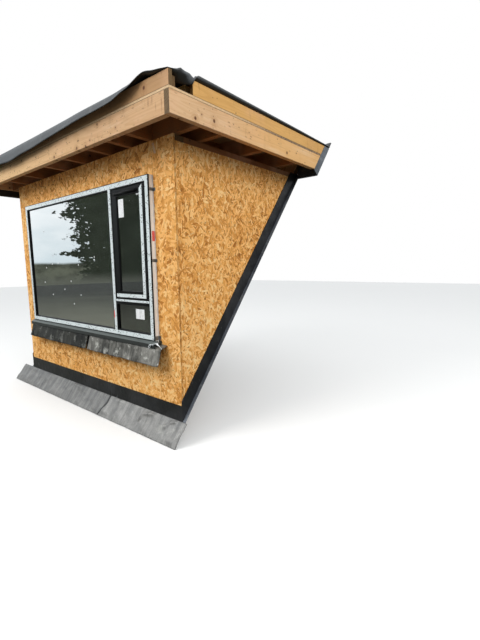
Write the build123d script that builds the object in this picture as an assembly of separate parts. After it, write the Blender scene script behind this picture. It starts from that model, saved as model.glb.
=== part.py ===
from build123d import *
import math
import os

# A timber-framed dormer with a wide window, boarded and roofed but not yet clad.
# It stands on a pitched roof. The origin is on the roof surface, under the middle
# of the front wall: X runs along the front wall, Y back into the roof, Z up.

# Driving sizes, in millimetres and degrees

pitch = 52.0                    # slope of the roof that the dormer stands on
wall_width = 2780.0             # front wall, over the cheek boarding
pier_width = 252.5              # front wall beside the window
head_height = 249.0             # top of the window to the underside of the roof joists
front_overhang = 250.0          # front boarding to the face of the front fascia
side_overhang = 260.0           # cheek boarding to the face of a side fascia

timber = 47.0                   # thickness of the sawn framing timber
stud_depth = 95.0               # the framing timber's other size in the walls
joist_depth = 145.0             # joists, lookouts and fascias
board = 11.0                    # strand board on the walls
board_joint = 3.0               # open joint between two sheets
board_foot_gap = 8.0            # wall boarding clear of the roof surface
board_corner_gap = 2.0          # cheek boarding behind the front sheets
deck_thickness = 18.0
kerb_height = 95.0
kerb_thickness = 30.0
kerb_corner_gap = 175.0         # right kerb stops short of the front kerb
arris = 2.0                     # eased edges of the fascias and kerbs
fascia_joint = 1.5              # open joint between the front and the side fascias
insulation_thickness = 90.0
insulation_setback = 50.0       # foam slab clear of the side kerbs
insulation_front_setback = 178.0
roof_end_gap = 80.0             # roof timbers stop this far off the roof surface

bearer_back_edge = 20.0         # height of the bevelled front bearer's thin edge
lay_board_width = 225.0         # board on the roof surface that the joists bear on
cripple_spacing = 400.0
cheek_stud_spacing = 400.0
outer_joist_setback = 270.0     # outer joist centre to the face of the cheek
inner_joist_bays = (251.0, 293.0, 412.0, 379.0, 506.0)
first_lookout = 211.0           # centre of the first lookout behind the front one
lookout_spacing = 506.0
corner_block_size = 40.0
corner_block_inset = 20.0

window_height = 1290.0
window_sill = 545.0             # underside of the frame above the origin
window_proud = 50.0             # frame face in front of the boarding
window_gap = 5.0                # frame clear of the studs and the boarding
frame_depth = 110.0
frame_face = 55.0               # width of the outer frame seen from the front
mullion_face = 70.0
side_bay_width = 448.5          # opening light and lower pane, between mullion and frame
transom_face = 55.0
lower_bay_height = 219.0
cladding_thickness = 10.0       # dark cladding on the face of the frame
cladding_leg = 6.0              # thickness of its leg that turns in to the glass
cladding_splay = 4.0            # its front edge widens by this much round each bay
glass_recess = 14.0             # glass behind the face of the frame
glass_sheet = 4.0               # each of the two sheets of a sealed unit
large_unit_thickness = 28.0
sash_unit_thickness = 23.5
spacer_width = 13.0             # spacer bar between the sheets, seen from the front
glass_bite = 9.0                # glass hidden behind the cladding's leg
glass_edge_gap = 3.0
inner_stop = 5.0                # inner edge of the frame shows past the cladding
groove_width = 6.0              # fixing grooves round the outside of the frame
groove_depth = 3.0
groove_setbacks = (34.0, 72.0)  # grooves behind the cladding
sash_gap = 3.0
sash_face = 62.0
sash_bite = 12.0                # glass hidden in the sash
sash_bead = 2.0
sash_glass_recess = 10.0
seat = 0.3                      # clearance of a part against its seat

handle_plate = (30.0, 150.0, 9.0)   # width, height and thickness of the handle's back plate
handle_neck_diameter = 16.0
handle_neck_reach = 26.0
handle_lever = (20.0, 125.0, 12.0)

sub_sill_thickness = 30.0
sub_sill_nose_reach = 25.0      # nose in front of the frame's face
sub_sill_nose_drop = 23.0
sub_sill_nose_height = 32.0
sub_sill_nose_thickness = 6.5
sub_sill_overrun = 30.0

lead = 3.0                      # sheet lead
lap = 100.0                     # overlap of two lengths of lead
sill_lead_left_overrun = 30.0
sill_lead_right_overrun = 100.0
sill_lead_right_length = 417.5
sill_lead_middle_length = 692.0
sill_lead_joint_gap = 5.0
sill_lead_fold_reach = 13.0     # fold in front of the frame's face
sill_lead_fold_drop = 26.0
sill_lead_drop = 135.0
sill_lead_lean = 25.0
sill_lead_tail = 30.0           # lead that runs in under the sub-sill
apron_depth = 210.0             # apron down the roof surface
apron_left_overrun = 240.0
apron_right_overrun = 60.0
apron_right_length = 1100.0
apron_lap_skew = 45.0           # the free end of the lap slants by this much

upstand_thickness = 8.0         # black strip at the foot of the walls
front_upstand_height = 129.0
front_upstand_right_length = 1030.0
front_upstand_joint_gap = 1.5
cheek_upstand_width = 105.0     # square to the roof surface
soaker_width = 30.0
saddle_start = 2572.0           # up the slope from the origin

membrane = 4.0                  # loose roof sheet
membrane_left_drop = 80.0       # below the left fascia
membrane_rear_lap = 70.0
membrane_roll = 19.0            # radius of the rolled right edge
flap_reach = 56.0               # front flap in front of the kerb
# The front hem, from left to right: share of the way from the roof's middle to its end,
# share of the flap's reach, and drop below the kerb's top
front_hem = ((-1.0, 1.0, 118.0), (-0.45, 1.0, 138.0), (-0.12, 1.0, 118.0), (0.21, 1.0, 91.0),
             (0.67, 1.0, 71.0), (0.74, 1.0, 49.0), (0.79, 0.9, 26.0), (0.825, 0.7, -6.0),
             (0.86, 0.6, -26.0), (0.93, 0.4, -10.0), (1.0, 0.1, -3.0))
fold_width = 60.0               # sheet that folds down between the front and the right kerb
fold_rise = 34.0
fold_drop = 38.0

# Places that follow from the sizes

slope = math.radians(pitch)
window_width = wall_width - 2 * pier_width
soffit_height = window_sill + window_height + head_height
half_wall = wall_width / 2
half_stud = stud_depth / 2
half_timber = timber / 2
stud_outside = half_wall - board          # outer face of the cheek studs
stud_inside = stud_outside - stud_depth
wall_face = -half_stud - board            # face of the front boarding
half_roof = half_wall + side_overhang
roof_front = wall_face - front_overhang
joist_top = soffit_height + joist_depth
deck_top = joist_top + deck_thickness
kerb_top = deck_top + kerb_height
plate_bottom = soffit_height - timber

frame_front = wall_face - window_proud
frame_back = frame_front + frame_depth
half_window = window_width / 2
window_head = window_sill + window_height
half_opening = half_window + window_gap
opening_head = window_head + window_gap
sub_sill_bottom = window_sill - sub_sill_thickness
opening_sill = sub_sill_bottom - lead

bearer_top = half_stud * math.tan(slope) + bearer_back_edge
bottom_plate_top = bearer_top + timber
upstand_front = wall_face - upstand_thickness
apron_top = upstand_front / math.cos(slope)


def roof_z(y, off=0.0):
    """Height, at depth y, of the line that lies off the roof surface by off."""
    return y * math.tan(slope) + off / math.cos(slope)


def roof_y(z, off=0.0):
    """Depth at which the line that lies off the roof surface reaches height z."""
    return (z - off / math.cos(slope)) / math.tan(slope)


def up_slope(run, off=0.0):
    """Point (y, z) at a distance up the roof surface, and square off it."""
    y = run * math.cos(slope) - off * math.sin(slope)
    z = run * math.sin(slope) + off * math.cos(slope)
    return y, z


def block(x0, x1, y0, y1, z0, z1):
    """Box between two corners."""
    size = Box(x1 - x0, y1 - y0, z1 - z0)
    return Pos((x0 + x1) / 2, (y0 + y1) / 2, (z0 + z1) / 2) * size


def across(x0, x1, outline):
    """Solid of constant section along X, from its (y, z) outline."""
    face = make_face(Polyline(*[(x0, y, z) for y, z in outline], close=True))
    return extrude(face, amount=x1 - x0, dir=(1, 0, 0))


def upright(y0, y1, outline):
    """Solid of constant section along Y, from its (x, z) outline."""
    face = make_face(Polyline(*[(x, y0, z) for x, z in outline], close=True))
    return extrude(face, amount=y1 - y0, dir=(0, 1, 0))


def roof_panel(corners, thickness, off=0.0):
    """Flat piece parallel to the roof surface, from its (x, run up the slope) corners."""
    surface = Plane(origin=(0, 0, 0), x_dir=(1, 0, 0), z_dir=(0, -math.sin(slope), math.cos(slope)))
    face = surface.offset(off) * make_face(Polyline(*[(x, run) for x, run in corners], close=True))
    return extrude(face, amount=thickness)


def on_roof(run0, run1, x0, x1, thickness, off=0.0):
    """Flat piece that lies on the roof surface."""
    outline = [up_slope(run0, off), up_slope(run1, off)]
    outline += [up_slope(run1, off + thickness), up_slope(run0, off + thickness)]
    return across(x0, x1, outline)


def mirrored(solid):
    """The same piece on the left side."""
    return mirror(solid, about=Plane.YZ)


def eased(solid, axis):
    """Timber whose long edges have their arris taken off."""
    return chamfer(solid.edges().filter_by(axis), arris)


def group(solids):
    """Like pieces that share a node."""
    return Compound(children=list(solids))


# Base: bevelled bearer, sloping sole plates and lay board

def front_bearer():
    outline = [(-half_stud, roof_z(-half_stud)), (half_stud, roof_z(half_stud)),
               (half_stud, bearer_top), (-half_stud, bearer_top)]
    return across(-stud_outside, stud_outside, outline)


lay_board_start = (soffit_height - timber * math.cos(slope)) / math.sin(slope) - board


def right_sole_plate():
    end = lay_board_start
    outline = [(half_stud, roof_z(half_stud)), up_slope(end), up_slope(end, timber),
               (half_stud, roof_z(half_stud, timber))]
    return across(stud_inside, stud_outside, outline)


def lay_board():
    return on_roof(lay_board_start, lay_board_start + lay_board_width, -stud_outside, stud_outside, timber)


# Front wall frame

def front_plate(z0):
    return block(-stud_outside, stud_outside, -half_stud, half_stud, z0, z0 + timber)


def corner_post():
    return block(stud_inside, stud_outside, -half_stud, half_stud, bottom_plate_top, plate_bottom)


def window_stud():
    x1 = half_opening + 2 * timber
    return block(half_opening, x1, -half_stud, half_stud, bottom_plate_top, opening_head)


def window_lintel():
    x1 = half_opening + 2 * timber
    return block(-x1, x1, -half_stud, half_stud, opening_head, plate_bottom)


def sill_rail():
    z1 = opening_sill
    return block(-half_opening, half_opening, -half_stud, half_stud, z1 - timber, z1)


def cripple_studs():
    count = int((half_opening - timber) / cripple_spacing)
    studs = []
    for step in range(-count, count + 1):
        x = step * cripple_spacing
        studs.append(block(x - half_timber, x + half_timber, -half_stud, half_stud,
                           bottom_plate_top, opening_sill - timber))
    return group(studs)


# Cheek frames

def right_top_plate():
    outline = [(half_stud, plate_bottom), (roof_y(plate_bottom, timber), plate_bottom),
               (roof_y(soffit_height, timber), soffit_height), (half_stud, soffit_height)]
    return across(stud_inside, stud_outside, outline)


def right_cheek_studs():
    studs = []
    y = cheek_stud_spacing
    while y + timber < roof_y(plate_bottom, timber):
        y0, y1 = y - half_timber, y + half_timber
        outline = [(y0, roof_z(y0, timber)), (y1, roof_z(y1, timber)),
                   (y1, plate_bottom), (y0, plate_bottom)]
        studs.append(across(stud_inside, stud_outside, outline))
        y += cheek_stud_spacing
    return group(studs)


# Strand boarding

board_foot = roof_z(-half_stud, board_foot_gap)


def front_boarding():
    y0, y1 = wall_face, -half_stud
    side_sheet = block(half_opening, half_wall, y0, y1, board_foot, soffit_height)
    inner = half_opening - board_joint
    head_sheet = block(-inner, inner, y0, y1, opening_head, soffit_height)
    sill_sheet = block(-inner, inner, y0, y1, board_foot, opening_sill)
    return group((side_sheet, mirrored(side_sheet), head_sheet, sill_sheet))


def right_cheek_boarding():
    y0 = -half_stud + board_corner_gap
    outline = [(y0, roof_z(y0, board_foot_gap)), (roof_y(plate_bottom, board_foot_gap), plate_bottom),
               (y0, plate_bottom)]
    return across(stud_outside, half_wall, outline)


# Flat roof: joists, lookouts, fascias, deck, kerbs and insulation

def roof_timber(x0, x1, y0, z0, z1, off):
    """Timber along Y whose rear end is cut to the roof's slope."""
    outline = [(y0, z0), (roof_y(z0, off), z0), (roof_y(z1, off), z1), (y0, z1)]
    return across(x0, x1, outline)


def joist_centres():
    outer = half_wall - outer_joist_setback
    centres = [outer]
    for bay in inner_joist_bays:
        centres.append(centres[-1] - bay)
    centres.append(-outer)
    return centres


def roof_joists():
    front = roof_front + timber
    return group(roof_timber(x - half_timber, x + half_timber, front, soffit_height, joist_top, timber)
                 for x in joist_centres())


def right_lookouts():
    x0 = joist_centres()[0] + half_timber
    x1 = half_roof - timber
    centres = [-half_stud + half_timber]
    y = first_lookout
    while y + timber < roof_y(soffit_height, roof_end_gap):
        centres.append(y)
        y += lookout_spacing
    return group(block(x0, x1, y - half_timber, y + half_timber, soffit_height, joist_top) for y in centres)


def front_fascia():
    x1 = half_roof - timber - fascia_joint
    return eased(block(-x1, x1, roof_front, roof_front + timber, soffit_height, joist_top), Axis.X)


def right_fascia():
    fascia = roof_timber(half_roof - timber, half_roof, roof_front, soffit_height, joist_top, roof_end_gap)
    return eased(fascia, Axis.Y)


def roof_deck():
    return roof_timber(-half_roof, half_roof, roof_front, joist_top, deck_top, roof_end_gap)


def front_kerb():
    kerb = block(-half_roof, half_roof, roof_front, roof_front + kerb_thickness, deck_top, kerb_top)
    return eased(kerb, Axis.X)


def side_kerb(y0):
    kerb = roof_timber(half_roof - kerb_thickness, half_roof, y0, deck_top, kerb_top, roof_end_gap)
    return eased(kerb, Axis.Y)


def corner_block():
    x1 = half_roof - corner_block_inset
    y0 = roof_front + kerb_thickness
    top = kerb_top - corner_block_inset
    return block(x1 - corner_block_size, x1, y0, y0 + corner_block_size, deck_top, top)


def roof_insulation():
    x1 = half_roof - kerb_thickness - insulation_setback
    y0 = roof_front + kerb_thickness + insulation_front_setback
    return roof_timber(-x1, x1, y0, deck_top, deck_top + insulation_thickness, roof_end_gap)


def flap_section(share, reach_share, drop):
    """Section of the front flap at one place along the front: it leaves the kerb, bends over and hangs."""
    x = share * half_roof
    top = kerb_top + membrane
    reach = reach_share * flap_reach
    turn = math.radians(45)
    bend_out = reach * math.sin(turn)
    bend_down = drop * (1 - math.cos(turn))
    outer = [(roof_front, top), (roof_front - bend_out, top - bend_down),
             (roof_front - reach, kerb_top - drop)]
    inner_hem = (roof_front - reach + membrane, kerb_top - drop)
    if drop < 0:
        outer[2] = (roof_front - reach, kerb_top - drop + membrane)
        inner_hem = (roof_front - reach, kerb_top - drop)
    inner = [inner_hem, (roof_front - bend_out + membrane / 2, kerb_top - bend_down), (roof_front, kerb_top)]
    return make_face(Polyline(*[(x, y, z) for y, z in outer + inner], close=True))


def corner_fold():
    """The sheet folds down between the end of the front kerb and the right kerb."""
    edge = half_roof + membrane
    top = kerb_top + membrane
    inner = half_roof - fold_width
    y0 = roof_front + kerb_thickness
    y1 = y0 + kerb_corner_gap
    front = [(inner, kerb_top), (inner, top), (edge, top + fold_rise / 2),
             (edge, kerb_top), (edge - fold_width / 4, kerb_top - corner_block_inset + seat)]
    back = [(inner, kerb_top), (inner, top), (edge - fold_width / 3, top + fold_rise),
            (edge, kerb_top), (edge, kerb_top - fold_drop)]
    sections = [make_face(Polyline(*[(x, y, z) for x, z in outline], close=True))
                for y, outline in ((y0 + seat, front), (y1 - seat, back))]
    return loft(sections, ruled=True)


def roof_membrane():
    top = kerb_top + membrane
    edge = half_roof + membrane
    flat = [(roof_front, kerb_top), (roof_y(kerb_top), kerb_top), (roof_y(top), top), (roof_front, top)]
    sheet = across(-half_roof, half_roof, flat)
    start = top / math.sin(slope) - membrane
    sheet += on_roof(start, start + membrane_rear_lap, -half_roof, half_roof, membrane)
    sheet += loft([flap_section(*station) for station in front_hem], ruled=True)
    sheet += corner_fold()
    low = soffit_height - membrane_left_drop
    side = [(roof_front, low), (roof_y(low, roof_end_gap), low),
            (roof_y(top, roof_end_gap), top), (roof_front, top)]
    sheet += across(-edge, -half_roof, side)
    roll_start = roof_front + kerb_corner_gap + kerb_thickness
    roll_length = roof_y(kerb_top, roof_end_gap) - roll_start
    roll = Cylinder(membrane_roll, roll_length, align=(Align.CENTER, Align.CENTER, Align.MIN))
    sheet += Pos(half_roof - membrane, roll_start, top + membrane_roll - membrane) * Rot(X=-90) * roll
    return sheet


# Window

right_edge = half_window - frame_face
mullion_right = right_edge - side_bay_width
mullion_left = mullion_right - mullion_face
glass_bottom = window_sill + frame_face
glass_top = window_head - frame_face
transom_bottom = glass_bottom + lower_bay_height
transom_top = transom_bottom + transom_face
glass_front = frame_front + glass_recess
cladding_back = frame_front + cladding_thickness
stop_front = glass_front + large_unit_thickness
sash_glass_front = frame_front + sash_glass_recess
sash_bead_front = sash_glass_front + sash_unit_thickness
sash_back = stop_front - seat

large_bay = (-right_edge, mullion_left, glass_bottom, glass_top)
sash_bay = (mullion_right, right_edge, transom_top, glass_top)
lower_bay = (mullion_right, right_edge, glass_bottom, transom_bottom)
bays = (large_bay, sash_bay, lower_bay)


def bay_block(bay, grow, y0, y1):
    """Block that fills a bay of the window, grown by the same amount all round."""
    x0, x1, z0, z1 = bay
    return block(x0 - grow, x1 + grow, y0, y1, z0 - grow, z1 + grow)


def bay_outline(bay, grow, y):
    """Face at one depth, of the shape of a bay grown by the same amount all round."""
    x0, x1, z0, z1 = bay
    corners = [(x0 - grow, z0 - grow), (x1 + grow, z0 - grow), (x1 + grow, z1 + grow), (x0 - grow, z1 + grow)]
    return make_face(Polyline(*[(x, y, z) for x, z in corners], close=True))


def splayed_block(bay, front_grow, back_grow, y0, y1):
    """Block that fills a bay and narrows from front to back."""
    return loft([bay_outline(bay, front_grow, y0), bay_outline(bay, back_grow, y1)], ruled=True)


def ring(bay, outer, inner, y0, y1):
    """Rectangular ring in a bay, between two outlines grown from the bay's edge."""
    return bay_block(bay, outer, y0, y1) - bay_block(bay, inner, y0, y1)


def window_frame():
    frame = block(-half_window, half_window, cladding_back, frame_back, window_sill, window_head)
    for bay in bays:
        frame -= bay_block(bay, cladding_leg, cladding_back, glass_front)
        rebate = 0.0 if bay is sash_bay else glass_bite + glass_edge_gap
        frame -= bay_block(bay, rebate, glass_front, stop_front)
        frame -= bay_block(bay, -inner_stop, stop_front, frame_back)
    whole = (-half_window, half_window, window_sill, window_head)
    for setback in groove_setbacks:
        groove_front = cladding_back + setback
        frame -= ring(whole, 0.0, -groove_depth, groove_front, groove_front + groove_width)
    return frame


def window_cladding():
    face = block(-half_window, half_window, frame_front, cladding_back, window_sill, window_head)
    for bay in bays:
        face -= splayed_block(bay, cladding_splay, 0.0, frame_front, cladding_back)
        face += ring(bay, cladding_leg, 0.0, cladding_back, glass_front)
    return face


def opening_light():
    outer = -sash_gap
    inner = outer - sash_face
    light = bay_block(sash_bay, outer, frame_front, sash_glass_front)
    light -= splayed_block(sash_bay, inner + cladding_splay, inner, frame_front, sash_glass_front)
    light += ring(sash_bay, outer, inner + sash_bite + glass_edge_gap, sash_glass_front, sash_bead_front)
    light += ring(sash_bay, outer, inner + sash_bead, sash_bead_front, sash_back)
    return light


def sealed_unit(bay, grow, front, thickness):
    """The two sheets of a sealed glass unit."""
    return group((bay_block(bay, grow, front, front + glass_sheet),
                  bay_block(bay, grow, front + thickness - glass_sheet, front + thickness)))


def spacer_bar(bay, grow, front, thickness):
    """The bar that holds the two sheets apart round their edge."""
    return ring(bay, grow, grow - spacer_width, front + glass_sheet, front + thickness - glass_sheet)


sash_glass_grow = -sash_gap - sash_face + sash_bite
sealed_units = {
    "large_pane": (large_bay, glass_bite, glass_front, large_unit_thickness),
    "lower_pane": (lower_bay, glass_bite, glass_front, large_unit_thickness),
    "opening_light_pane": (sash_bay, sash_glass_grow, sash_glass_front, sash_unit_thickness),
}


def sash_handle():
    """Lever handle on the inside of the opening light, on its left stile."""
    x = sash_bay[0] + sash_gap + sash_face / 2
    z = (sash_bay[2] + sash_bay[3]) / 2
    width, height, thickness = handle_plate
    plate_back = sash_back + thickness
    plate = block(x - width / 2, x + width / 2, sash_back, plate_back, z - height / 2, z + height / 2)
    plate = fillet(plate.edges().filter_by(Axis.Y), width / 2 - arris)
    low_end = (Align.CENTER, Align.CENTER, Align.MIN)
    neck = Cylinder(handle_neck_diameter / 2, handle_neck_reach, align=low_end)
    neck = Pos(x, plate_back, z + height / 4) * Rot(X=-90) * neck
    lever_width, lever_length, lever_thickness = handle_lever
    y0 = plate_back + handle_neck_reach
    top = z + height / 4 + lever_width / 2
    y1 = y0 + lever_thickness
    lever = block(x - lever_width / 2, x + lever_width / 2, y0, y1, top - lever_length, top)
    lever = fillet(lever.edges().filter_by(Axis.Y), lever_width / 2 - arris)
    return plate + neck + lever


def sub_sill():
    x1 = half_window + sub_sill_overrun
    nose = frame_front - sub_sill_nose_reach
    nose_top = window_sill - sub_sill_nose_drop
    nose_bottom = nose_top - sub_sill_nose_height
    inner = nose + sub_sill_nose_thickness
    outline = [(wall_face, window_sill), (cladding_back, window_sill), (nose, nose_top), (nose, nose_bottom),
               (inner, nose_bottom), (inner, sub_sill_bottom), (wall_face, sub_sill_bottom)]
    front = across(-x1, x1, outline)
    back = block(-half_window, half_window, wall_face, frame_back, sub_sill_bottom, window_sill)
    return front + back


# Lead and black flashings

def sill_lead_outline():
    """Folded section of the lead in front of the wall."""
    fold_y = frame_front - sill_lead_fold_reach + lead
    fold_z = opening_sill - sill_lead_fold_drop
    foot_y = fold_y - sill_lead_lean
    foot_z = fold_z - sill_lead_drop
    return [(wall_face, opening_sill), (fold_y, fold_z), (foot_y, foot_z), (foot_y - lead, foot_z),
            (fold_y - lead, fold_z + lead), (wall_face, opening_sill + lead)]


def sill_flashing():
    right_end = half_window + sill_lead_right_overrun
    right_joint = right_end - sill_lead_right_length
    left_joint = right_joint - sill_lead_middle_length
    ends = (-half_window - sill_lead_left_overrun, left_joint, right_joint, right_end)
    half_gap = sill_lead_joint_gap / 2
    tail_end = half_opening - board_joint
    lengths = []
    for x0, x1 in zip(ends, ends[1:]):
        length = across(x0 + half_gap, x1 - half_gap, sill_lead_outline())
        tail = block(max(x0 + half_gap, -tail_end), min(x1 - half_gap, tail_end), wall_face,
                     wall_face + sill_lead_tail, opening_sill, opening_sill + lead)
        lengths.append(length + tail)
    return group(lengths)


def front_upstand():
    outline = [(upstand_front, roof_z(upstand_front)), (wall_face, roof_z(wall_face)),
               (wall_face, roof_z(upstand_front) + front_upstand_height),
               (upstand_front, roof_z(upstand_front) + front_upstand_height)]
    half_gap = front_upstand_joint_gap / 2
    joint = half_wall - front_upstand_right_length
    return group((across(-half_wall, joint - half_gap, outline), across(joint + half_gap, half_wall, outline)))


def right_upstand():
    top = soffit_height - seat
    outline = [(upstand_front, roof_z(upstand_front)), (roof_y(top), top),
               (roof_y(top, cheek_upstand_width), top),
               (upstand_front, roof_z(upstand_front, cheek_upstand_width))]
    return across(half_wall, half_wall + upstand_thickness, outline)


def front_apron():
    low = apron_top - apron_depth
    step = lead + seat
    right_end = half_wall + apron_right_overrun
    joint = right_end - apron_right_length
    left = on_roof(low, apron_top, -half_wall - apron_left_overrun, joint, lead)
    right = on_roof(low, apron_top, joint + lead, right_end, lead)
    right += on_roof(low, apron_top, joint + seat, joint + lead, lead + step)
    start = joint - lap
    lap_end = joint + lead
    corners = [(start, low), (lap_end, low), (lap_end, apron_top), (start + apron_lap_skew, apron_top)]
    right += roof_panel(corners, lead, step)
    return group((left, right))


def right_soaker():
    x0 = half_wall + upstand_thickness
    outline = [(upstand_front, roof_z(upstand_front)), up_slope(soffit_height / math.sin(slope)),
               up_slope(soffit_height / math.sin(slope), lead), (upstand_front, roof_z(upstand_front, lead))]
    return across(x0, x0 + soaker_width, outline)


def right_saddle():
    """Lead on the roof surface behind the eaves, turned up to the ends of the roof timbers."""
    x0 = half_wall + upstand_thickness + soaker_width
    x1 = half_roof + lead
    end = kerb_top / math.sin(slope) - 2 * lead
    saddle = on_roof(saddle_start, end, x0, x1, lead)
    inner_start = soffit_height / math.sin(slope) + lead
    saddle += on_roof(inner_start, end, stud_outside + seat, x0, lead)
    upturn = roof_end_gap - seat
    upturn_end = (kerb_top - upturn * math.cos(slope)) / math.sin(slope)
    outline = [up_slope(saddle_start), up_slope(end),
               up_slope(upturn_end, upturn), up_slope(saddle_start, upturn)]
    return saddle + across(x1 - lead, x1, outline)


nodes = {
    "front_bearer": front_bearer(),
    "right_sole_plate": right_sole_plate(),
    "left_sole_plate": mirrored(right_sole_plate()),
    "lay_board": lay_board(),
    "front_bottom_plate": front_plate(bearer_top),
    "front_top_plate": front_plate(plate_bottom),
    "right_corner_post": corner_post(),
    "left_corner_post": mirrored(corner_post()),
    "right_window_stud": window_stud(),
    "left_window_stud": mirrored(window_stud()),
    "window_lintel": window_lintel(),
    "window_sill_rail": sill_rail(),
    "cripple_studs": cripple_studs(),
    "right_top_plate": right_top_plate(),
    "left_top_plate": mirrored(right_top_plate()),
    "right_cheek_studs": right_cheek_studs(),
    "left_cheek_studs": mirrored(right_cheek_studs()),
    "front_boarding": front_boarding(),
    "right_cheek_boarding": right_cheek_boarding(),
    "left_cheek_boarding": mirrored(right_cheek_boarding()),
    "roof_joists": roof_joists(),
    "right_lookouts": right_lookouts(),
    "left_lookouts": mirrored(right_lookouts()),
    "front_fascia": front_fascia(),
    "right_fascia": right_fascia(),
    "left_fascia": mirrored(right_fascia()),
    "roof_deck": roof_deck(),
    "front_kerb": front_kerb(),
    "right_kerb": side_kerb(roof_front + kerb_thickness + kerb_corner_gap),
    "left_kerb": mirrored(side_kerb(roof_front + kerb_thickness)),
    "corner_block": corner_block(),
    "roof_insulation": roof_insulation(),
    "roof_membrane": roof_membrane(),
    "window_frame": window_frame(),
    "window_cladding": window_cladding(),
    "opening_light": opening_light(),
    "large_pane": sealed_unit(*sealed_units["large_pane"]),
    "lower_pane": sealed_unit(*sealed_units["lower_pane"]),
    "opening_light_pane": sealed_unit(*sealed_units["opening_light_pane"]),
    "spacer_bars": group(spacer_bar(*unit) for unit in sealed_units.values()),
    "sash_handle": sash_handle(),
    "sub_sill": sub_sill(),
    "sill_flashing": sill_flashing(),
    "front_upstand": front_upstand(),
    "right_upstand": right_upstand(),
    "left_upstand": mirrored(right_upstand()),
    "front_apron": front_apron(),
    "right_soaker": right_soaker(),
    "left_soaker": mirrored(right_soaker()),
    "right_saddle": right_saddle(),
    "left_saddle": mirrored(right_saddle()),
}

os.makedirs("parts", exist_ok=True)
for name, solid in nodes.items():
    export_step(solid, f"parts/{name}.step")
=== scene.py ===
import math

import bmesh
import bpy
from mathutils import Matrix, Vector, noise


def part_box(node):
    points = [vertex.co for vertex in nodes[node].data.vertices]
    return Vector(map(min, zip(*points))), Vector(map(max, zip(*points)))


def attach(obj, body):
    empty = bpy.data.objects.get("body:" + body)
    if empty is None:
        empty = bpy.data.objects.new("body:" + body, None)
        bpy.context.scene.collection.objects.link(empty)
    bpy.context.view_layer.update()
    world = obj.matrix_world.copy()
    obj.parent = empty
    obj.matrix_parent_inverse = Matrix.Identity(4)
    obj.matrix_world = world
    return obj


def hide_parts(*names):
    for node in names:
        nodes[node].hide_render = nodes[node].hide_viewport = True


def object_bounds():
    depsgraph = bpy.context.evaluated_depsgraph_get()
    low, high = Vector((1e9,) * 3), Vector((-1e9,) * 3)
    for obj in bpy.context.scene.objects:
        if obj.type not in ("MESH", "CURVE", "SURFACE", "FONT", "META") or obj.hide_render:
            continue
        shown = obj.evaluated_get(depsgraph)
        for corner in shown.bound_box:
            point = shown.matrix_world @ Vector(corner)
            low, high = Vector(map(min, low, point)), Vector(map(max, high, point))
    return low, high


# The looks of a timber dormer with a wide window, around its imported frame. Metres, Z up.

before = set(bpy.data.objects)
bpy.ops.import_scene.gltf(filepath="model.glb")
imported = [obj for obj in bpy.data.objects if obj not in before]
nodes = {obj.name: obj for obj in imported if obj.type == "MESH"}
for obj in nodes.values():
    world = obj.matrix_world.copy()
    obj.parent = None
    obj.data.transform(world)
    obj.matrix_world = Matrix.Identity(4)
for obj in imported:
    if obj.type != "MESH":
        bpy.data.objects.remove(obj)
cad_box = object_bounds()

# Sizes that the looks share with the frame

PITCH = math.radians(52.0)         # of the slope that the dormer stands on
kerb_low, kerb_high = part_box("front_kerb")
roof_left, roof_right = kerb_low.x, kerb_high.x
roof_front, kerb_back, kerb_top = kerb_low.y, kerb_high.y, kerb_high.z
deck_bottom, deck_top = (corner.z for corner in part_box("roof_deck"))
foam_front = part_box("roof_insulation")[0].y
wall_low, wall_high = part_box("front_boarding")
wall_face, wall_right = wall_low.y, wall_high.x
window_low, window_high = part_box("window_cladding")
window_face = window_low.y
pane_low, pane_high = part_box("large_pane")
lower_low, lower_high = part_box("lower_pane")
sash_low, sash_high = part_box("opening_light")
sill_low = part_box("sub_sill")[0]


def slope_depth(z):
    """Depth at which the slope reaches a height."""
    return z / math.tan(PITCH)


# Node trees written as expressions

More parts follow.
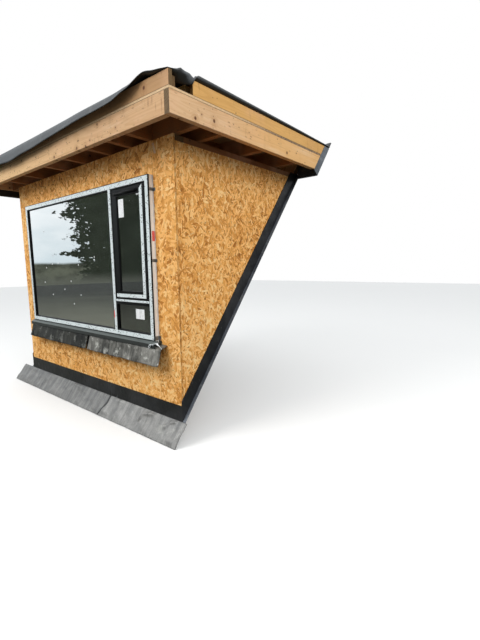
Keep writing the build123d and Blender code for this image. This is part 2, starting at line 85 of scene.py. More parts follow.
class Signal:
    """A socket of a node tree. Arithmetic on it adds Math nodes, and its other helpers add pattern nodes."""

    place = None       # where patterns are read, unless they are given another place

    def __init__(self, tree, socket=None):
        self.tree, self.socket = tree, socket

    def node(self, kind, settings=None, inputs=None, output=0):
        """Adds a node: its settings first, then the values or links of its sockets."""
        made = self.tree.nodes.new(kind)
        for name, value in (settings or {}).items():
            if name == "stops":
                ramp = made.color_ramp.elements
                while len(ramp) < len(value):
                    ramp.new(0.5)
                for stop, (place, colour) in zip(ramp, value):
                    stop.position, stop.color = place, colour
            else:
                setattr(made, name, value)
        for key, value in (inputs or {}).items():
            if isinstance(value, Signal):
                self.tree.links.new(value.socket, made.inputs[key])
            else:
                made.inputs[key].default_value = value
        if output is None:
            return None
        if isinstance(output, tuple):
            return tuple(Signal(self.tree, made.outputs[o]) for o in output)
        return Signal(self.tree, made.outputs[output])

    def maths(self, operation, *values):
        return self.node("ShaderNodeMath", {"operation": operation}, dict(enumerate(values)))

    def __add__(self, other):
        return self.maths("ADD", self, other)

    def __sub__(self, other):
        return self.maths("SUBTRACT", self, other)

    def __mul__(self, other):
        return self.maths("MULTIPLY", self, other)

    def __truediv__(self, other):
        return self.maths("DIVIDE", self, other)

    __radd__ = __add__
    __rmul__ = __mul__

    def high(self, other):
        """The higher of two values."""
        return self.maths("MAXIMUM", self, other)

    def size(self):
        return self.maths("ABSOLUTE", self)

    def wave(self):
        return self.maths("SINE", self)

    def part(self):
        """What is left after the whole number."""
        return self.maths("FRACT", self)

    def step(self, start, end):
        """0 at start and 1 at end, with a smooth way between. It falls where start is the higher one."""
        settings = {"interpolation_type": "SMOOTHSTEP"}
        return self.node("ShaderNodeMapRange", settings, {"Value": self, "From Min": start, "From Max": end})

    def axes(self, place=None):
        return self.node("ShaderNodeSeparateXYZ", inputs={0: place or self.place}, output=(0, 1, 2))

    def point(self, x, y, z):
        return self.node("ShaderNodeCombineXYZ", inputs={0: x, 1: y, 2: z})

    def stretch(self, x, y, z, place=None):
        inputs = {0: place or self.place, 1: (x, y, z)}
        return self.node("ShaderNodeVectorMath", {"operation": "MULTIPLY"}, inputs)

    def cloud(self, place, scale=1.0, detail=4.0, rough=0.55, warp=0.0):
        """Soft noise from 0 to 1."""
        inputs = {"Vector": place, "Scale": scale, "Detail": detail, "Roughness": rough, "Distortion": warp}
        return self.node("ShaderNodeTexNoise", inputs=inputs, output="Fac")

    def cells(self, place, scale=1.0, feature="F1", output=("Distance", "Color"), flat=False):
        """How far the nearest of many scattered spots is, and that spot's own random colour."""
        settings = {"feature": feature, "voronoi_dimensions": "2D" if flat else "3D"}
        return self.node("ShaderNodeTexVoronoi", settings, {"Vector": place, "Scale": scale}, output)

    def spots(self, place, inner, outer, hidden, clear, **settings):
        """Scattered spots, soft from inner to outer. One shows where its own number is past hidden."""
        distance, seed = self.cells(place, **settings)
        return distance.step(outer, inner) * self.axes(seed)[0].step(hidden, clear)

    def blend(self, factor, first, second):
        """From the first colour to the second."""
        return self.node("ShaderNodeMix", {"data_type": "RGBA"}, {0: factor, 6: first, 7: second}, 2)

    def ramp(self, value, stops):
        return self.node("ShaderNodeValToRGB", {"stops": stops}, {"Fac": value})

    def rays(self):
        """Two masks: rays from the camera, straight or through glass, and rays that a glossy face mirrors."""
        camera, mirrored, passed = self.node("ShaderNodeLightPath", output=(
            "Is Camera Ray", "Is Glossy Ray", "Is Transmission Ray"))
        return camera.high(passed), mirrored


def seen(red, green, blue):
    """The colour that shows as these levels, from 0 to 255."""
    def linear(level):
        level /= 255.0
        return level / 12.92 if level <= 0.04045 else ((level + 0.055) / 1.055) ** 2.4
    return linear(red), linear(green), linear(blue), 1.0


class Finish(Signal):
    """A material: its shader's sockets, and the helpers that its patterns share."""

    def __init__(self, name, roughness=0.6, **constants):
        self.material = bpy.data.materials.new(name)
        self.material.use_nodes = True
        super().__init__(self.material.node_tree)
        self.shader = self.tree.nodes["Principled BSDF"]
        self.put("Roughness", roughness)
        for socket, value in constants.items():
            self.put(socket.replace("_", " "), value)
        self.place = self.node("ShaderNodeTexCoord", output="Object")

    def put(self, socket, value):
        """Sets or links one of the shader's sockets."""
        if isinstance(value, Signal):
            self.tree.links.new(value.socket, self.shader.inputs[socket])
        else:
            self.shader.inputs[socket].default_value = value

    def normal(self):
        return self.axes(self.node("ShaderNodeNewGeometry", output="Normal"))

    def faces(self, axis):
        """1 where the surface faces along an axis, either way."""
        return self.normal()[axis].size().step(0.5, 0.9)

    def attribute(self, name, output="Fac"):
        return self.node("ShaderNodeAttribute", {"attribute_name": name}, output=output)

    def finished(self, colour, height=None, depth=0.0, roughness=None):
        """The material, once it has its colour, a relief of up to depth metres and its roughness."""
        self.put("Base Color", colour)
        if height is not None:
            self.put("Normal", self.node("ShaderNodeBump", inputs={"Distance": depth, "Height": height}))
        if roughness is not None:
            self.put("Roughness", roughness)
        return self.material


def dress(finish, *names):
    """Gives nodes of the frame their finish."""
    for name in names:
        if not nodes[name].material_slots:
            nodes[name].data.materials.append(finish)
        for slot in nodes[name].material_slots:
            slot.material = finish


# Timber

ALONG = {"X": (0, 1, 2), "Y": (1, 2, 0), "Z": (2, 0, 1)}    # the axis of the grain, then the two across it


def grain(wood, axes, along, across, **settings):
    """Noise that changes this often along and across the grain."""
    a, b, c = axes
    return wood.cloud(wood.point(a * along, b * across, c * across), **settings)


def timber_knots(wood, axes, knots):
    """Knots, the grain that swirls round them, their hearts' colour, and nail holes and torn pits."""
    a, b, c = axes
    across = b + c
    spot, seed = wood.cells(wood.point(a * 5.6 + 2.0, across * 5.0, 0.0), flat=True)
    chance, girth, _ = wood.axes(seed)
    there = (chance - (1.0 - knots)).step(0.0, 0.02)
    near = (spot + grain(wood, axes, 60.0, 60.0) * 0.012) / (girth * 0.040 + 0.034)
    knot = near.step(1.25, 0.7) * there
    swirl = near.step(4.5, 0.9) * there
    heart = wood.blend(near.part(), seen(62, 34, 18), seen(112, 66, 36))

    def holes(scale, inner, outer):
        hidden = 1.0 - knots * 0.5
        return wood.spots(wood.point(a, across, 0.0), inner, outer, hidden, hidden + 0.01, scale=scale,
                          flat=True)

    pitted = wood.cloud(wood.point(a * 1.7, across * 2.0, 0.0), detail=2.0).step(0.47, 0.55)
    pits = holes(23.0, 0.05, 0.12) * pitted
    return knot, swirl, heart, holes(9.0, 0.028, 0.055).high(pits * 0.85)


def torn_grain(wood, colour, axes, chips):
    """Small torn chips, fine drying cracks and pale worn streaks."""
    a, b, c = axes
    slanted = wood.point(a * 17.0 + b * 9.0, b * 46.0, c * 46.0 + a * 5.0)
    torn = wood.spots(slanted, 0.10, 0.34, 0.50, 0.60)
    where = wood.cloud(wood.point(a * 2.2, b * 7.0 + 3.0, c * 7.0), detail=3.0).step(0.34, 0.56)
    colour = wood.blend(torn * where * chips, colour, seen(128, 82, 40))
    crack = grain(wood, axes, 1.1, 95.0, detail=3.0, rough=0.6).step(0.60, 0.68)
    colour = wood.blend(crack * 0.35, colour, seen(150, 104, 60))
    worn = wood.cloud(wood.point(a * 1.3, b * 16.0, c * 16.0 + 2.0), rough=0.6).step(0.54, 0.72)
    return wood.blend(worn * 0.3, colour, seen(240, 214, 182))


def sawn_ends(wood, colour, axes, end_axis, light):
    """End grain: darker, with year rings and pores."""
    _, b, c = axes
    ring_space, _ = wood.cells(wood.point(b * 5.5, c * 5.5, 0.0))
    tone = (ring_space * 70.0).wave() * 0.2 + wood.cloud(wood.stretch(90.0, 90.0, 90.0), detail=3.0) * 0.7
    end_grain = wood.blend(tone, wood.blend(0.95, light, seen(104, 80, 44)), seen(60, 44, 24))
    ends = wood.normal()[end_axis].size().step(0.5, 0.62)
    return wood.blend(ends * 0.96, colour, end_grain)


def softwood(name, along, light, dark, knots=0.5, tilt=0.0, stain=0.2, saw_marks=0.0, rings=0.2, chips=0.0,
             shift=None):
    """Softwood with its grain along one axis: growth rings, knots, smudges, end grain and fibres.

    shift is two places along the grain, and the light and dark tone that it turns to between them: a change
    of tint on the side fascias, and painted light on the front fascia."""
    wood = Finish(name, 0.62, Specular_IOR_Level=0.22)
    place = wood.place
    if tilt:
        place = wood.node("ShaderNodeMapping", inputs={"Vector": place, "Rotation": (-tilt, 0.0, 0.0)})
    places = wood.axes(place)
    axes = a, b, c = [places[i] for i in ALONG[along]]
    knot, swirl, heart, holes = timber_knots(wood, axes, knots)

    slow = grain(wood, axes, 0.45, 6.0, detail=2.0, rough=0.4)
    growth = (slow * 24.0 + swirl * 1.6 + grain(wood, axes, 2.0, 30.0) * 0.6).part()
    late = growth.step(0.3, 0.9) * growth.step(1.0, 0.92)
    fibre = grain(wood, axes, 7.0, 240.0, detail=3.0)
    tone = grain(wood, axes, 1.3, 5.0, rough=0.6)
    blush = wood.cloud(wood.point(a * 2.6 + 7.0, b * 3.0, c * 3.0), detail=3.0)
    smudge = grain(wood, axes, 34.0, 7.0, rough=0.6).step(0.56, 0.74)
    patch = wood.cloud(wood.point(a * 3.0, b * 3.0 + 5.0, c * 3.0), detail=2.0).step(0.42, 0.6)

    colour = wood.blend(late * rings + fibre * 0.22 + tone.step(0.4, 0.75) * 0.35, light, dark)
    colour = wood.blend(blush.step(0.5, 0.72) * 0.35, colour, seen(232, 184, 148))
    colour = wood.blend(swirl * 0.4, colour, wood.blend(0.5, dark, seen(150, 98, 56)))
    colour = wood.blend(smudge * patch * 0.62, colour, seen(136, 88, 48))
    if shift:
        colour = wood.blend(a.step(*shift[:2]) * 0.6, colour, wood.blend(fibre, *shift[2:]))
    if chips:
        colour = torn_grain(wood, colour, axes, chips)
    colour = wood.blend(knot * 0.92, colour, heart)
    colour = wood.blend(holes * 0.85, colour, seen(74, 44, 26))
    colour = sawn_ends(wood, colour, axes, ALONG[along][0], light)
    marks = wood.cloud(wood.stretch(5.0, 5.0, 5.0), detail=5.0, rough=0.65).step(0.54, 0.8)
    colour = wood.blend(marks * stain, colour, seen(112, 92, 70))
    height = fibre * 0.35 + late * 0.3 - knot * 0.6
    if saw_marks:
        height = height + grain(wood, axes, 260.0, 4.0, detail=1.0) * saw_marks
    return wood.finished(colour, height, 0.0008, roughness=fibre * 0.25 + 0.5)


SAWN = (seen(232, 190, 136), seen(196, 146, 94))
# The sawn timber's tones made darker for the timbers in the eaves: painted shade.
SHADED = (seen(158, 106, 62), seen(112, 70, 38))
KERB = {"X": (seen(190, 148, 102), seen(156, 114, 72)), "Y": (seen(226, 176, 104), seen(192, 140, 74))}
FASCIA = {
    "X": {"light": seen(216, 176, 132), "dark": seen(188, 140, 92), "knots": 0.7, "chips": 0.5,
          # The front fascia turns paler towards its left end: painted light from the left front.
          "shift": (1.1, -0.8, seen(246, 212, 160), seen(224, 180, 122))},
    "Y": {"light": seen(224, 186, 142), "dark": seen(200, 152, 104), "knots": 0.55, "chips": 0.6,
          "shift": (0.0, 0.9, seen(246, 194, 120), seen(220, 164, 92))},
}


def dress_timber():
    """Rough sawn framing, the joists and other timbers in the eaves in a darker copy of it that is painted
    shade, pale planed fascias and yellow kerbs.
    """
    rough = {"knots": 0.45, "saw_marks": 0.5}
    # Settings of the darker copy in the eaves, whose colour is painted shade, with more stain marks.
    shaded_sawn = {"knots": 0.4, "stain": 0.4, "saw_marks": 0.5}
    dress(softwood("sawn_softwood_x", "X", *SAWN, **rough), "front_bearer", "lay_board", "front_bottom_plate",
          "front_top_plate", "window_lintel", "window_sill_rail")
    dress(softwood("sawn_softwood_z", "Z", *SAWN, **rough), "right_corner_post", "left_corner_post",
          "right_window_stud", "left_window_stud", "cripple_studs", "right_cheek_studs", "left_cheek_studs")
    dress(softwood("sawn_softwood_on_slope", "Y", *SAWN, tilt=PITCH, **rough), "right_sole_plate",
          "left_sole_plate")
    dress(softwood("shaded_softwood_x", "X", *SHADED, **shaded_sawn), "right_lookouts", "left_lookouts",
          "corner_block")
    dress(softwood("shaded_softwood_y", "Y", *SHADED, **shaded_sawn), "right_top_plate", "left_top_plate",
          "roof_joists")
    for axis, sides in (("X", ("front",)), ("Y", ("right", "left"))):
        planed = softwood(f"planed_softwood_{axis.lower()}", axis, stain=0.15, rings=0.3, **FASCIA[axis])
        kerb = softwood(f"kerb_softwood_{axis.lower()}", axis, *KERB[axis], knots=0.3, stain=0.1)
        dress(planed, *(f"{side}_fascia" for side in sides))
        dress(kerb, *(f"{side}_kerb" for side in sides))


# Strand board

STRAND_TONES = [(0.0, seen(160, 100, 42)), (0.12, seen(200, 132, 60)), (0.45, seen(238, 172, 90)),
                (0.75, seen(254, 196, 120)), (1.0, seen(255, 214, 148))]
# The front's strands are darker between these heights: painted shade under the eaves.
EAVES_SHADE = (1.72, 2.02)     # heights between which the front gets darker
GUIDE_DEPTH = 0.56             # of the dotted guide line on the cheeks
GUIDE_DOTS = 22.0              # dots in a metre of it
SCUFF = (1.165, 2.02)          # pale scuff above the window's right end, across and up

# Strands: how many on a square metre, their size, and how far they turn from the way the board is laid
FRONT_STRANDS = {"Density": 3000.0, "Length": 0.096, "Width": 0.025, "Thickness": 0.0015, "Spread": 1.3}
CHEEK_STRANDS = {"Density": 3100.0, "Length": 0.080, "Width": 0.018, "Thickness": 0.0016, "Spread": 0.85}
STRAYS = 0.16                  # share of them that lie askew
SINK = 0.0011                  # how deep in the board they may lie


def strand_board():
    """Pressed wood strands, as the backs and the sawn edges of the boards show them."""
    board = Finish("strand_board", 0.65, Specular_IOR_Level=0.15)
    colour = None
    for turn, seed in ((0.15, 0.0), (-0.35, 3.1), (1.0, 7.7)):
        turned = board.node("ShaderNodeMapping", inputs={
            "Vector": board.place, "Location": (seed, seed * 0.7, seed * 1.3), "Rotation": (turn, turn, 0.0)})
        stretched = board.stretch(42.0, 42.0, 11.0, turned)
        _, tint = board.cells(stretched)
        edge, = board.cells(stretched, feature="DISTANCE_TO_EDGE", output=("Distance",))
        layer = board.ramp(board.axes(tint)[0], STRAND_TONES)
        layer = board.blend(edge.step(0.05, 0.0) * 0.4, layer, seen(120, 76, 38))
        if colour is None:
            colour = layer
        else:
            colour = board.blend(board.axes(tint)[1].step(0.55, 0.6), colour, layer)
    fibre = board.cloud(board.stretch(300.0, 300.0, 30.0), detail=2.0)
    colour = board.blend(fibre * 0.35 + 0.08, colour, seen(146, 94, 42))
    return board.finished(colour, fibre, 0.0006)


def strand_flakes():
    """Finish of the single strands: each has its own tone, with fibres along it."""
    flake = Finish("strand_flakes", 0.6, Specular_IOR_Level=0.15)
    tone = flake.attribute("tone")
    along = flake.attribute("strand", "Vector")
    stretched = flake.stretch(3.0, 60.0, 1.0, along)
    own = flake.point(tone * 91.0, tone * 47.0, 0.0)
    fibre = flake.cloud(flake.node("ShaderNodeVectorMath", {"operation": "ADD"}, {0: stretched, 1: own}), 6.0,
                        rough=0.6)
    patch = flake.cloud(flake.stretch(1.6, 1.6, 1.2), detail=3.0)
    x, y, z = flake.axes()
    front, cheek = flake.faces(1), flake.faces(0)
    # Darker front strands under the eaves: painted shade.
    painted_eaves_shade = z.step(*EAVES_SHADE) * front
    value = tone * 0.92 + 0.07 + (fibre - 0.5) * 0.5 + (patch - 0.5) * 0.6 - painted_eaves_shade * 0.07
    corner = (y - wall_face).size().step(0.0035, 0.0012) * cheek
    guide = (y - GUIDE_DEPTH).size().step(0.003, 0.0015) * (z * GUIDE_DOTS).part().step(0.52, 0.5) * cheek
    slant = x - SCUFF[0] + (z - SCUFF[1]) * 0.3
    scuff = slant.size().step(0.016, 0.010) * (z - SCUFF[1] - 0.005).size().step(0.045, 0.035) * front
    colour = flake.ramp(value, STRAND_TONES)
    colour = flake.blend(corner * 0.6, colour, seen(112, 70, 38))
    colour = flake.blend(guide * 0.7, colour, seen(74, 56, 40))
    colour = flake.blend(scuff * 0.55, colour, seen(230, 206, 176))
    return flake.finished(colour, fibre, 0.0004, roughness=fibre * 0.2 + 0.55)


def strand_tree(finish):
    """Geometry nodes that lay wood strands on a flat sheet, at named sizes and a fixed seed."""
    tree = bpy.data.node_groups.new("strands", "GeometryNodeTree")
    tree.interface.new_socket("Geometry", in_out="INPUT", socket_type="NodeSocketGeometry")
    for name, kind in (("Density", "Float"), ("Length", "Float"), ("Width", "Float"), ("Thickness", "Float"),
                       ("Spread", "Float"), ("Seed", "Int")):
        tree.interface.new_socket(name, in_out="INPUT", socket_type=f"NodeSocket{kind}")
    tree.interface.new_socket("Geometry", in_out="OUTPUT", socket_type="NodeSocketGeometry")
    root = Signal(tree)
    sheet, density, length, width, thickness, spread, seed = root.node(
        "NodeGroupInput", output=tuple(range(7)))

    def chance(low, high, add):
        inputs = {2: low, 3: high, "Seed": seed + add}
        return root.node("FunctionNodeRandomValue", {"data_type": "FLOAT"}, inputs, 1)

    points = root.node("GeometryNodeDistributePointsOnFaces", inputs={
        "Mesh": sheet, "Density": density, "Seed": seed})
    sunk = root.point(0.0, 0.0, chance(-SINK, 0.0, 11))
    lifted = root.node("GeometryNodeSetPosition", inputs={"Geometry": points, "Offset": sunk})
    flake = root.node("GeometryNodeMeshCone", {"fill_type": "NGON"},
                      {"Vertices": 5, "Radius Top": 0.46, "Radius Bottom": 0.5, "Depth": 1.0})
    shape = root.node("GeometryNodeStoreNamedAttribute", {"data_type": "FLOAT_VECTOR", "domain": "POINT"}, {
        "Geometry": flake, "Name": "strand", "Value": root.node("GeometryNodeInputPosition")})
    turn = (chance(-1.0, 1.0, 1) + chance(-1.0, 1.0, 2) + chance(-1.0, 1.0, 3)) * spread
    stray = root.maths("GREATER_THAN", chance(0.0, 1.0, 4), 1.0 - STRAYS)
    turn = turn + stray * chance(-1.4, 1.4, 5)
    tilt = chance(-0.02, 0.02, 6)
    rotation = root.point(tilt, tilt * 0.4, turn + math.pi / 2)
    size = root.point(length * chance(0.45, 1.25, 7), width * chance(0.4, 1.4, 8), thickness)
    placed = root.node("GeometryNodeInstanceOnPoints", inputs={
        "Points": lifted, "Instance": shape, "Rotation": rotation, "Scale": size})
    toned = root.node("GeometryNodeStoreNamedAttribute", {"data_type": "FLOAT", "domain": "INSTANCE"}, {
        "Geometry": placed, "Name": "tone", "Value": chance(0.0, 1.0, 9)})
    real = root.node("GeometryNodeRealizeInstances", inputs={0: toned})
    coated = root.node("GeometryNodeSetMaterial", inputs={"Geometry": real, "Material": finish})
    root.node("NodeGroupOutput", inputs={0: coated}, output=None)
    return tree


def rectangle(left, foot, right, head):
    return [(left, foot), (right, foot), (right, head), (left, head)]


def strands_on(tree, outline, place, seed, strand):
    """Strands on one sheet: laid on a larger one, cut along the outline's sides and moved to its place."""
    middle = sum((Vector(corner) for corner in outline), Vector((0.0, 0.0))) / len(outline)
    margin = strand["Length"] * 0.6
    flat = bpy.data.meshes.new("sheet")
    corners = [Vector(c) + (Vector(c) - middle).normalized() * margin * 1.6 for c in outline]
    flat.from_pydata([(c.x, c.y, 0.0) for c in corners], [], [list(range(len(corners)))])
    carrier = bpy.data.objects.new("sheet", flat)
    bpy.context.scene.collection.objects.link(carrier)
    modifier = carrier.modifiers.new("strands", "NODES")
    modifier.node_group = tree
    for socket in tree.interface.items_tree:
        if socket.in_out == "INPUT" and socket.name in strand:
            modifier[socket.identifier] = strand[socket.name]
        if socket.in_out == "INPUT" and socket.name == "Seed":
            modifier[socket.identifier] = seed
    made = bpy.data.meshes.new_from_object(carrier.evaluated_get(bpy.context.evaluated_depsgraph_get()))
    bpy.data.objects.remove(carrier)
    work = bmesh.new()
    work.from_mesh(made)
    for start, end in zip(outline, outline[1:] + outline[:1]):
        side = Vector(end) - Vector(start)
        outward = Vector((side.y, -side.x, 0.0))
        everything = work.verts[:] + work.edges[:] + work.faces[:]
        cut = bmesh.ops.bisect_plane(work, geom=everything, plane_co=(*start, 0.0), plane_no=outward,
                                     clear_outer=True)
        rim = [e for e in cut["geom_cut"] if isinstance(e, bmesh.types.BMEdge)]
        bmesh.ops.holes_fill(work, edges=rim, sides=0)
    work.transform(place)
    work.to_mesh(made)
    work.free()
    return made


def strand_pieces():
    """Strands that cover the outer faces of the boards, one piece a wall."""
    finish = strand_flakes()
    tree = strand_tree(finish)
    opening, middle = window_high.x + 0.002, window_high.x - 0.001
    foot, top = wall_low.z, wall_high.z
    head, sill = window_high.z + 0.004, sill_low.z - 0.002
    front = Matrix.Translation((0.0, wall_face, 0.0)) @ Matrix.Rotation(math.radians(90.0), 4, "X")
    sheets = (rectangle(opening, foot, wall_right, top), rectangle(-wall_right, foot, -opening, top),
              rectangle(-middle, head, middle, top), rectangle(-middle, foot, middle, sill))
    laid = [strands_on(tree, sheet, front, 10 + i, FRONT_STRANDS) for i, sheet in enumerate(sheets)]
    join("front_strands", laid)
    cheek_low, cheek_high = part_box("right_cheek_boarding")
    cheek = [(cheek_low.y, cheek_low.z), (cheek_high.y, cheek_high.z), (cheek_low.y, cheek_high.z)]
    for side, sign in (("right", 1.0), ("left", -1.0)):
        face = sign * cheek_high.x
        if sign > 0:
            place = Matrix(((0, 0, 1, face), (1, 0, 0, 0), (0, 1, 0, 0), (0, 0, 0, 1)))
            outline = cheek
        else:
            place = Matrix(((0, 0, -1, face), (-1, 0, 0, 0), (0, 1, 0, 0), (0, 0, 0, 1)))
            outline = [(-y, z) for y, z in reversed(cheek)]
        laid = strands_on(tree, outline, place, 30 + int(sign), CHEEK_STRANDS)
        join(f"{side}_cheek_strands", [laid])


def mesh_of(name, work, smooth=False):
    """The finished mesh of what was built up in work."""
    mesh = bpy.data.meshes.new(name)
    work.to_mesh(mesh)
    work.free()
    if smooth:
        mesh.shade_smooth()
    return mesh


def join(name, meshes):
    """One piece from several meshes."""
    work = bmesh.new()
    for mesh in meshes:
        work.from_mesh(mesh)
    joined = mesh_of(name, work)
    for material in meshes[0].materials:
        joined.materials.append(material)
    return piece(name, joined)


def thicken(made, thickness):
    """Gives a sheet its thickness, half to each side."""
    skin = made.modifiers.new("thickness", "SOLIDIFY")
    skin.thickness = thickness
    skin.offset = 0.0
    return skin


def piece(name, mesh, finish=None):
    """A new piece of the object, riding on its one body."""
    made = bpy.data.objects.new(name, mesh)
    bpy.context.scene.collection.objects.link(made)
    if finish:
        mesh.materials.clear()
        mesh.materials.append(finish)
    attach(made, "root")
    return made


# Deck, insulation and metal

def deck_board():
    """Plywood deck: pale faces, and edges with its plies, weathered at the ends."""
    deck = Finish("deck_plywood", 0.65)
    _, y, z = deck.axes()
    level = (z - deck_bottom) / (deck_top - deck_bottom)
    # rim marks the top and bottom of the deck's edges, darkened below: painted shadow lines at the joints
    # with the fascia and the kerb.
    rim = level.step(0.16, 0.06).high(level.step(0.84, 0.96))
    ply = (level * 3.0).part()
    worn = y.step(0.1, 1.1)
    edge = deck.normal()[2].size().step(0.6, 0.4)
    veins = deck.cloud(deck.stretch(4.0, 60.0, 60.0), detail=4.0)
    face = deck.blend(veins, seen(206, 166, 118), seen(150, 108, 66))
    plies = deck.blend(ply.step(0.4, 0.6) * 0.35, seen(232, 198, 150), seen(150, 108, 66))
    chips = deck.cloud(deck.stretch(40.0, 40.0, 200.0), detail=4.0, rough=0.7)
    plies = deck.blend(worn * 0.75, plies, seen(118, 90, 58))
    plies = deck.blend(chips.step(0.46, 0.60) * (worn * 0.75 + 0.2), plies, seen(58, 42, 26))
    plies = deck.blend(rim * 0.85, plies, seen(84, 58, 36))
    return deck.finished(deck.blend(edge, face, plies), chips * 0.7 + veins * 0.3, 0.001)


def foam():
    """Foam insulation slab with fine cells and a dull foil face."""
    slab = Finish("foam_slab", 0.7)
    cells, _ = slab.cells(slab.place, 420.0)
    soft = slab.cloud(slab.stretch(3.0, 3.0, 3.0), detail=3.0)
    colour = slab.blend(soft, seen(226, 206, 150), seen(206, 180, 118))
    foil = slab.normal()[2].size().step(0.6, 0.8)
    colour = slab.blend(foil, colour, seen(186, 188, 190))
    return slab.finished(colour, cells, 0.0006)


def lead_sheet(name, dark, light, pale=0.3, across=16.0, other=None, shine=0.5):
    """Sheet lead: mottled grey patina with streaks down its fall, pale patches, dents and fine scratches.

    Where a piece has lengths, its tone attribute leads from the first pair of greys to the other pair."""
    lead = Finish(name, 0.5, Metallic=0.25, Specular_IOR_Level=shine)
    x, y, z = lead.axes()
    tone = lead.attribute("tone")
    # Below a tone of 0 the lead turns near black: painted shadow along a lapping edge.
    seam = tone.step(-0.1, -0.8)
    share = pale
    if other:
        share = (tone * 0.7 + 0.3) * pale
        dark, light = lead.blend(tone, dark, other[0]), lead.blend(tone, light, other[1])
    streak = lead.cloud(lead.point(x * across, y * 1.4, z * 1.4), 2.2, detail=6.0, rough=0.68)
    band = lead.cloud(lead.point(x * across * 0.35, y * 0.5, z * 0.5), 2.0, detail=3.0)
    patina = lead.cloud(lead.place, 6.0, detail=6.0, rough=0.6, warp=0.6)
    bloom = lead.cloud(lead.stretch(11.0, 9.0, 9.0), detail=6.0, rough=0.72)
    fine = lead.cloud(lead.place, 70.0, detail=4.0, rough=0.7)
    mottle = patina.step(0.35, 0.65) * 0.5 + streak.step(0.42, 0.58) * 0.25 + band.step(0.42, 0.58) * 0.3
    colour = lead.blend(mottle, dark, light)
    colour = lead.blend(bloom.step(0.53, 0.66) * share, colour, seen(196, 196, 188))
    colour = lead.blend(streak.step(0.57, 0.68) * 0.4, colour, lead.blend(0.55, dark, seen(22, 23, 24)))
    colour = lead.blend(fine.step(0.4, 0.8) * 0.3, colour, lead.blend(0.5, dark, seen(30, 30, 30)))
    colour = lead.blend(seam * 0.9, colour, seen(14, 14, 14))
    height = lead.cloud(lead.place, 11.0, detail=3.0) + patina * 0.3 + streak * 0.15 + fine * 0.06
    return lead.finished(colour, height, 0.004, roughness=patina * 0.35 + 0.38)


STRIP_JOINT = 0.3605       # where the strip along the front is lapped
STRIP_LIP = 0.3715         # and the worn lip beside the lap


def black_strip():
    """Black damp-proof strip, slightly shiny, with dust and pale scuffs."""
    strip = Finish("black_strip", 0.5, Specular_IOR_Level=0.35)
    dust = strip.cloud(strip.place, 4.0, detail=6.0, rough=0.65)
    scuff = strip.cloud(strip.stretch(14.0, 9.0, 9.0), detail=6.0, rough=0.75).step(0.66, 0.74)
    colour = strip.blend(dust.step(0.4, 0.75), seen(20, 21, 24), seen(46, 46, 48))
    x, _, _ = strip.axes()
    joint = (x - STRIP_JOINT).size().step(0.007, 0.004) * strip.faces(1)
    lip = (x - STRIP_LIP).size().step(0.006, 0.002) * strip.faces(1)
    colour = strip.blend(joint, strip.blend(lip * 0.35, colour, seen(92, 94, 98)), seen(4, 4, 5))
    height = strip.cloud(strip.place, 9.0, detail=3.0) + dust * 0.4
    colour = strip.blend(scuff * 0.5, colour, seen(150, 154, 158))
    return strip.finished(colour, height, 0.008, roughness=dust * 0.4 + 0.28)


def black_coating():
    """Satin black powder coating."""
    coat = Finish("black_coating", 0.45, Specular_IOR_Level=0.12)
    speckle = coat.cloud(coat.place, 900.0, detail=2.0)
    dust = coat.cloud(coat.place, 7.0, detail=5.0).step(0.5, 0.8)
    colour = coat.blend(dust * 0.4, seen(10, 11, 13), seen(32, 34, 36))
    return coat.finished(colour, speckle, 0.0002, roughness=dust * 0.3 + 0.4)


def cream_frame():
    """Off-white frame profile: grey lines where its parts meet, faint dirt and a few nail heads."""
    cream = Finish("cream_frame", 0.42, Specular_IOR_Level=0.3)
    _, y, z = cream.axes()
    dirt = cream.cloud(cream.place, 9.0, detail=6.0, rough=0.65).step(0.5, 0.8)
    shade = cream.cloud(cream.stretch(90.0, 90.0, 3.0), detail=2.0)
    colour = cream.blend(shade * 0.4, seen(242, 243, 240), seen(222, 220, 212))
    front = y - window_face
    for depth, width, strength in ((0.0115, 0.0016, 0.75), (0.021, 0.0012, 0.5), (0.040, 0.001, 0.4)):
        line = (front - depth).size().step(width * 1.5, width * 0.7)
        colour = cream.blend(line * strength, colour, seen(104, 106, 104))
    nail = cream.spots(cream.point(0.0, y * 30.0, z * 7.0), 0.05, 0.08, 0.6, 0.61)
    colour = cream.blend(nail * 0.7, colour, seen(88, 84, 78))
    colour = cream.blend(dirt * 0.35, colour, seen(176, 166, 148))
    return cream.finished(colour, shade, 0.0004)


def dark_glass(name, index):
    """Dark double glazing with a clear reflection that grows with the index."""
    glass = Finish(name, 0.0, Transmission_Weight=1.0, IOR=index * 0.65, Coat_Weight=1.0,
                   Coat_Roughness=0.0, Coat_IOR=index)
    dust = glass.cloud(glass.place, 3.0, detail=6.0, rough=0.7)
    colour = glass.blend(dust, seen(64, 72, 68), seen(74, 80, 76))
    return glass.finished(colour, roughness=dust.step(0.6, 0.85) * 0.05)


def sill_metal():
    """Dark grey folded metal sill, lighter on what faces up: dust, and painted light from above."""
    sill = Finish("sill_metal", 0.45, Metallic=0.2, Specular_IOR_Level=0.35)
    dust = sill.cloud(sill.place, 8.0, detail=6.0, rough=0.65)
    scratch = sill.cloud(sill.stretch(6.0, 160.0, 160.0), detail=3.0).step(0.62, 0.7)
    # What faces up is lighter: partly dust, partly painted light from above.
    upward = sill.normal()[2].step(0.2, 0.7)
    colour = sill.blend(dust, seen(34, 36, 36), seen(56, 60, 59))
    colour = sill.blend(upward * 0.85, colour, sill.blend(dust, seen(62, 67, 65), seen(98, 104, 101)))
    colour = sill.blend(scratch * 0.3, colour, seen(150, 152, 148))
    return sill.finished(colour, dust, 0.0006, roughness=dust * 0.4 + 0.3)


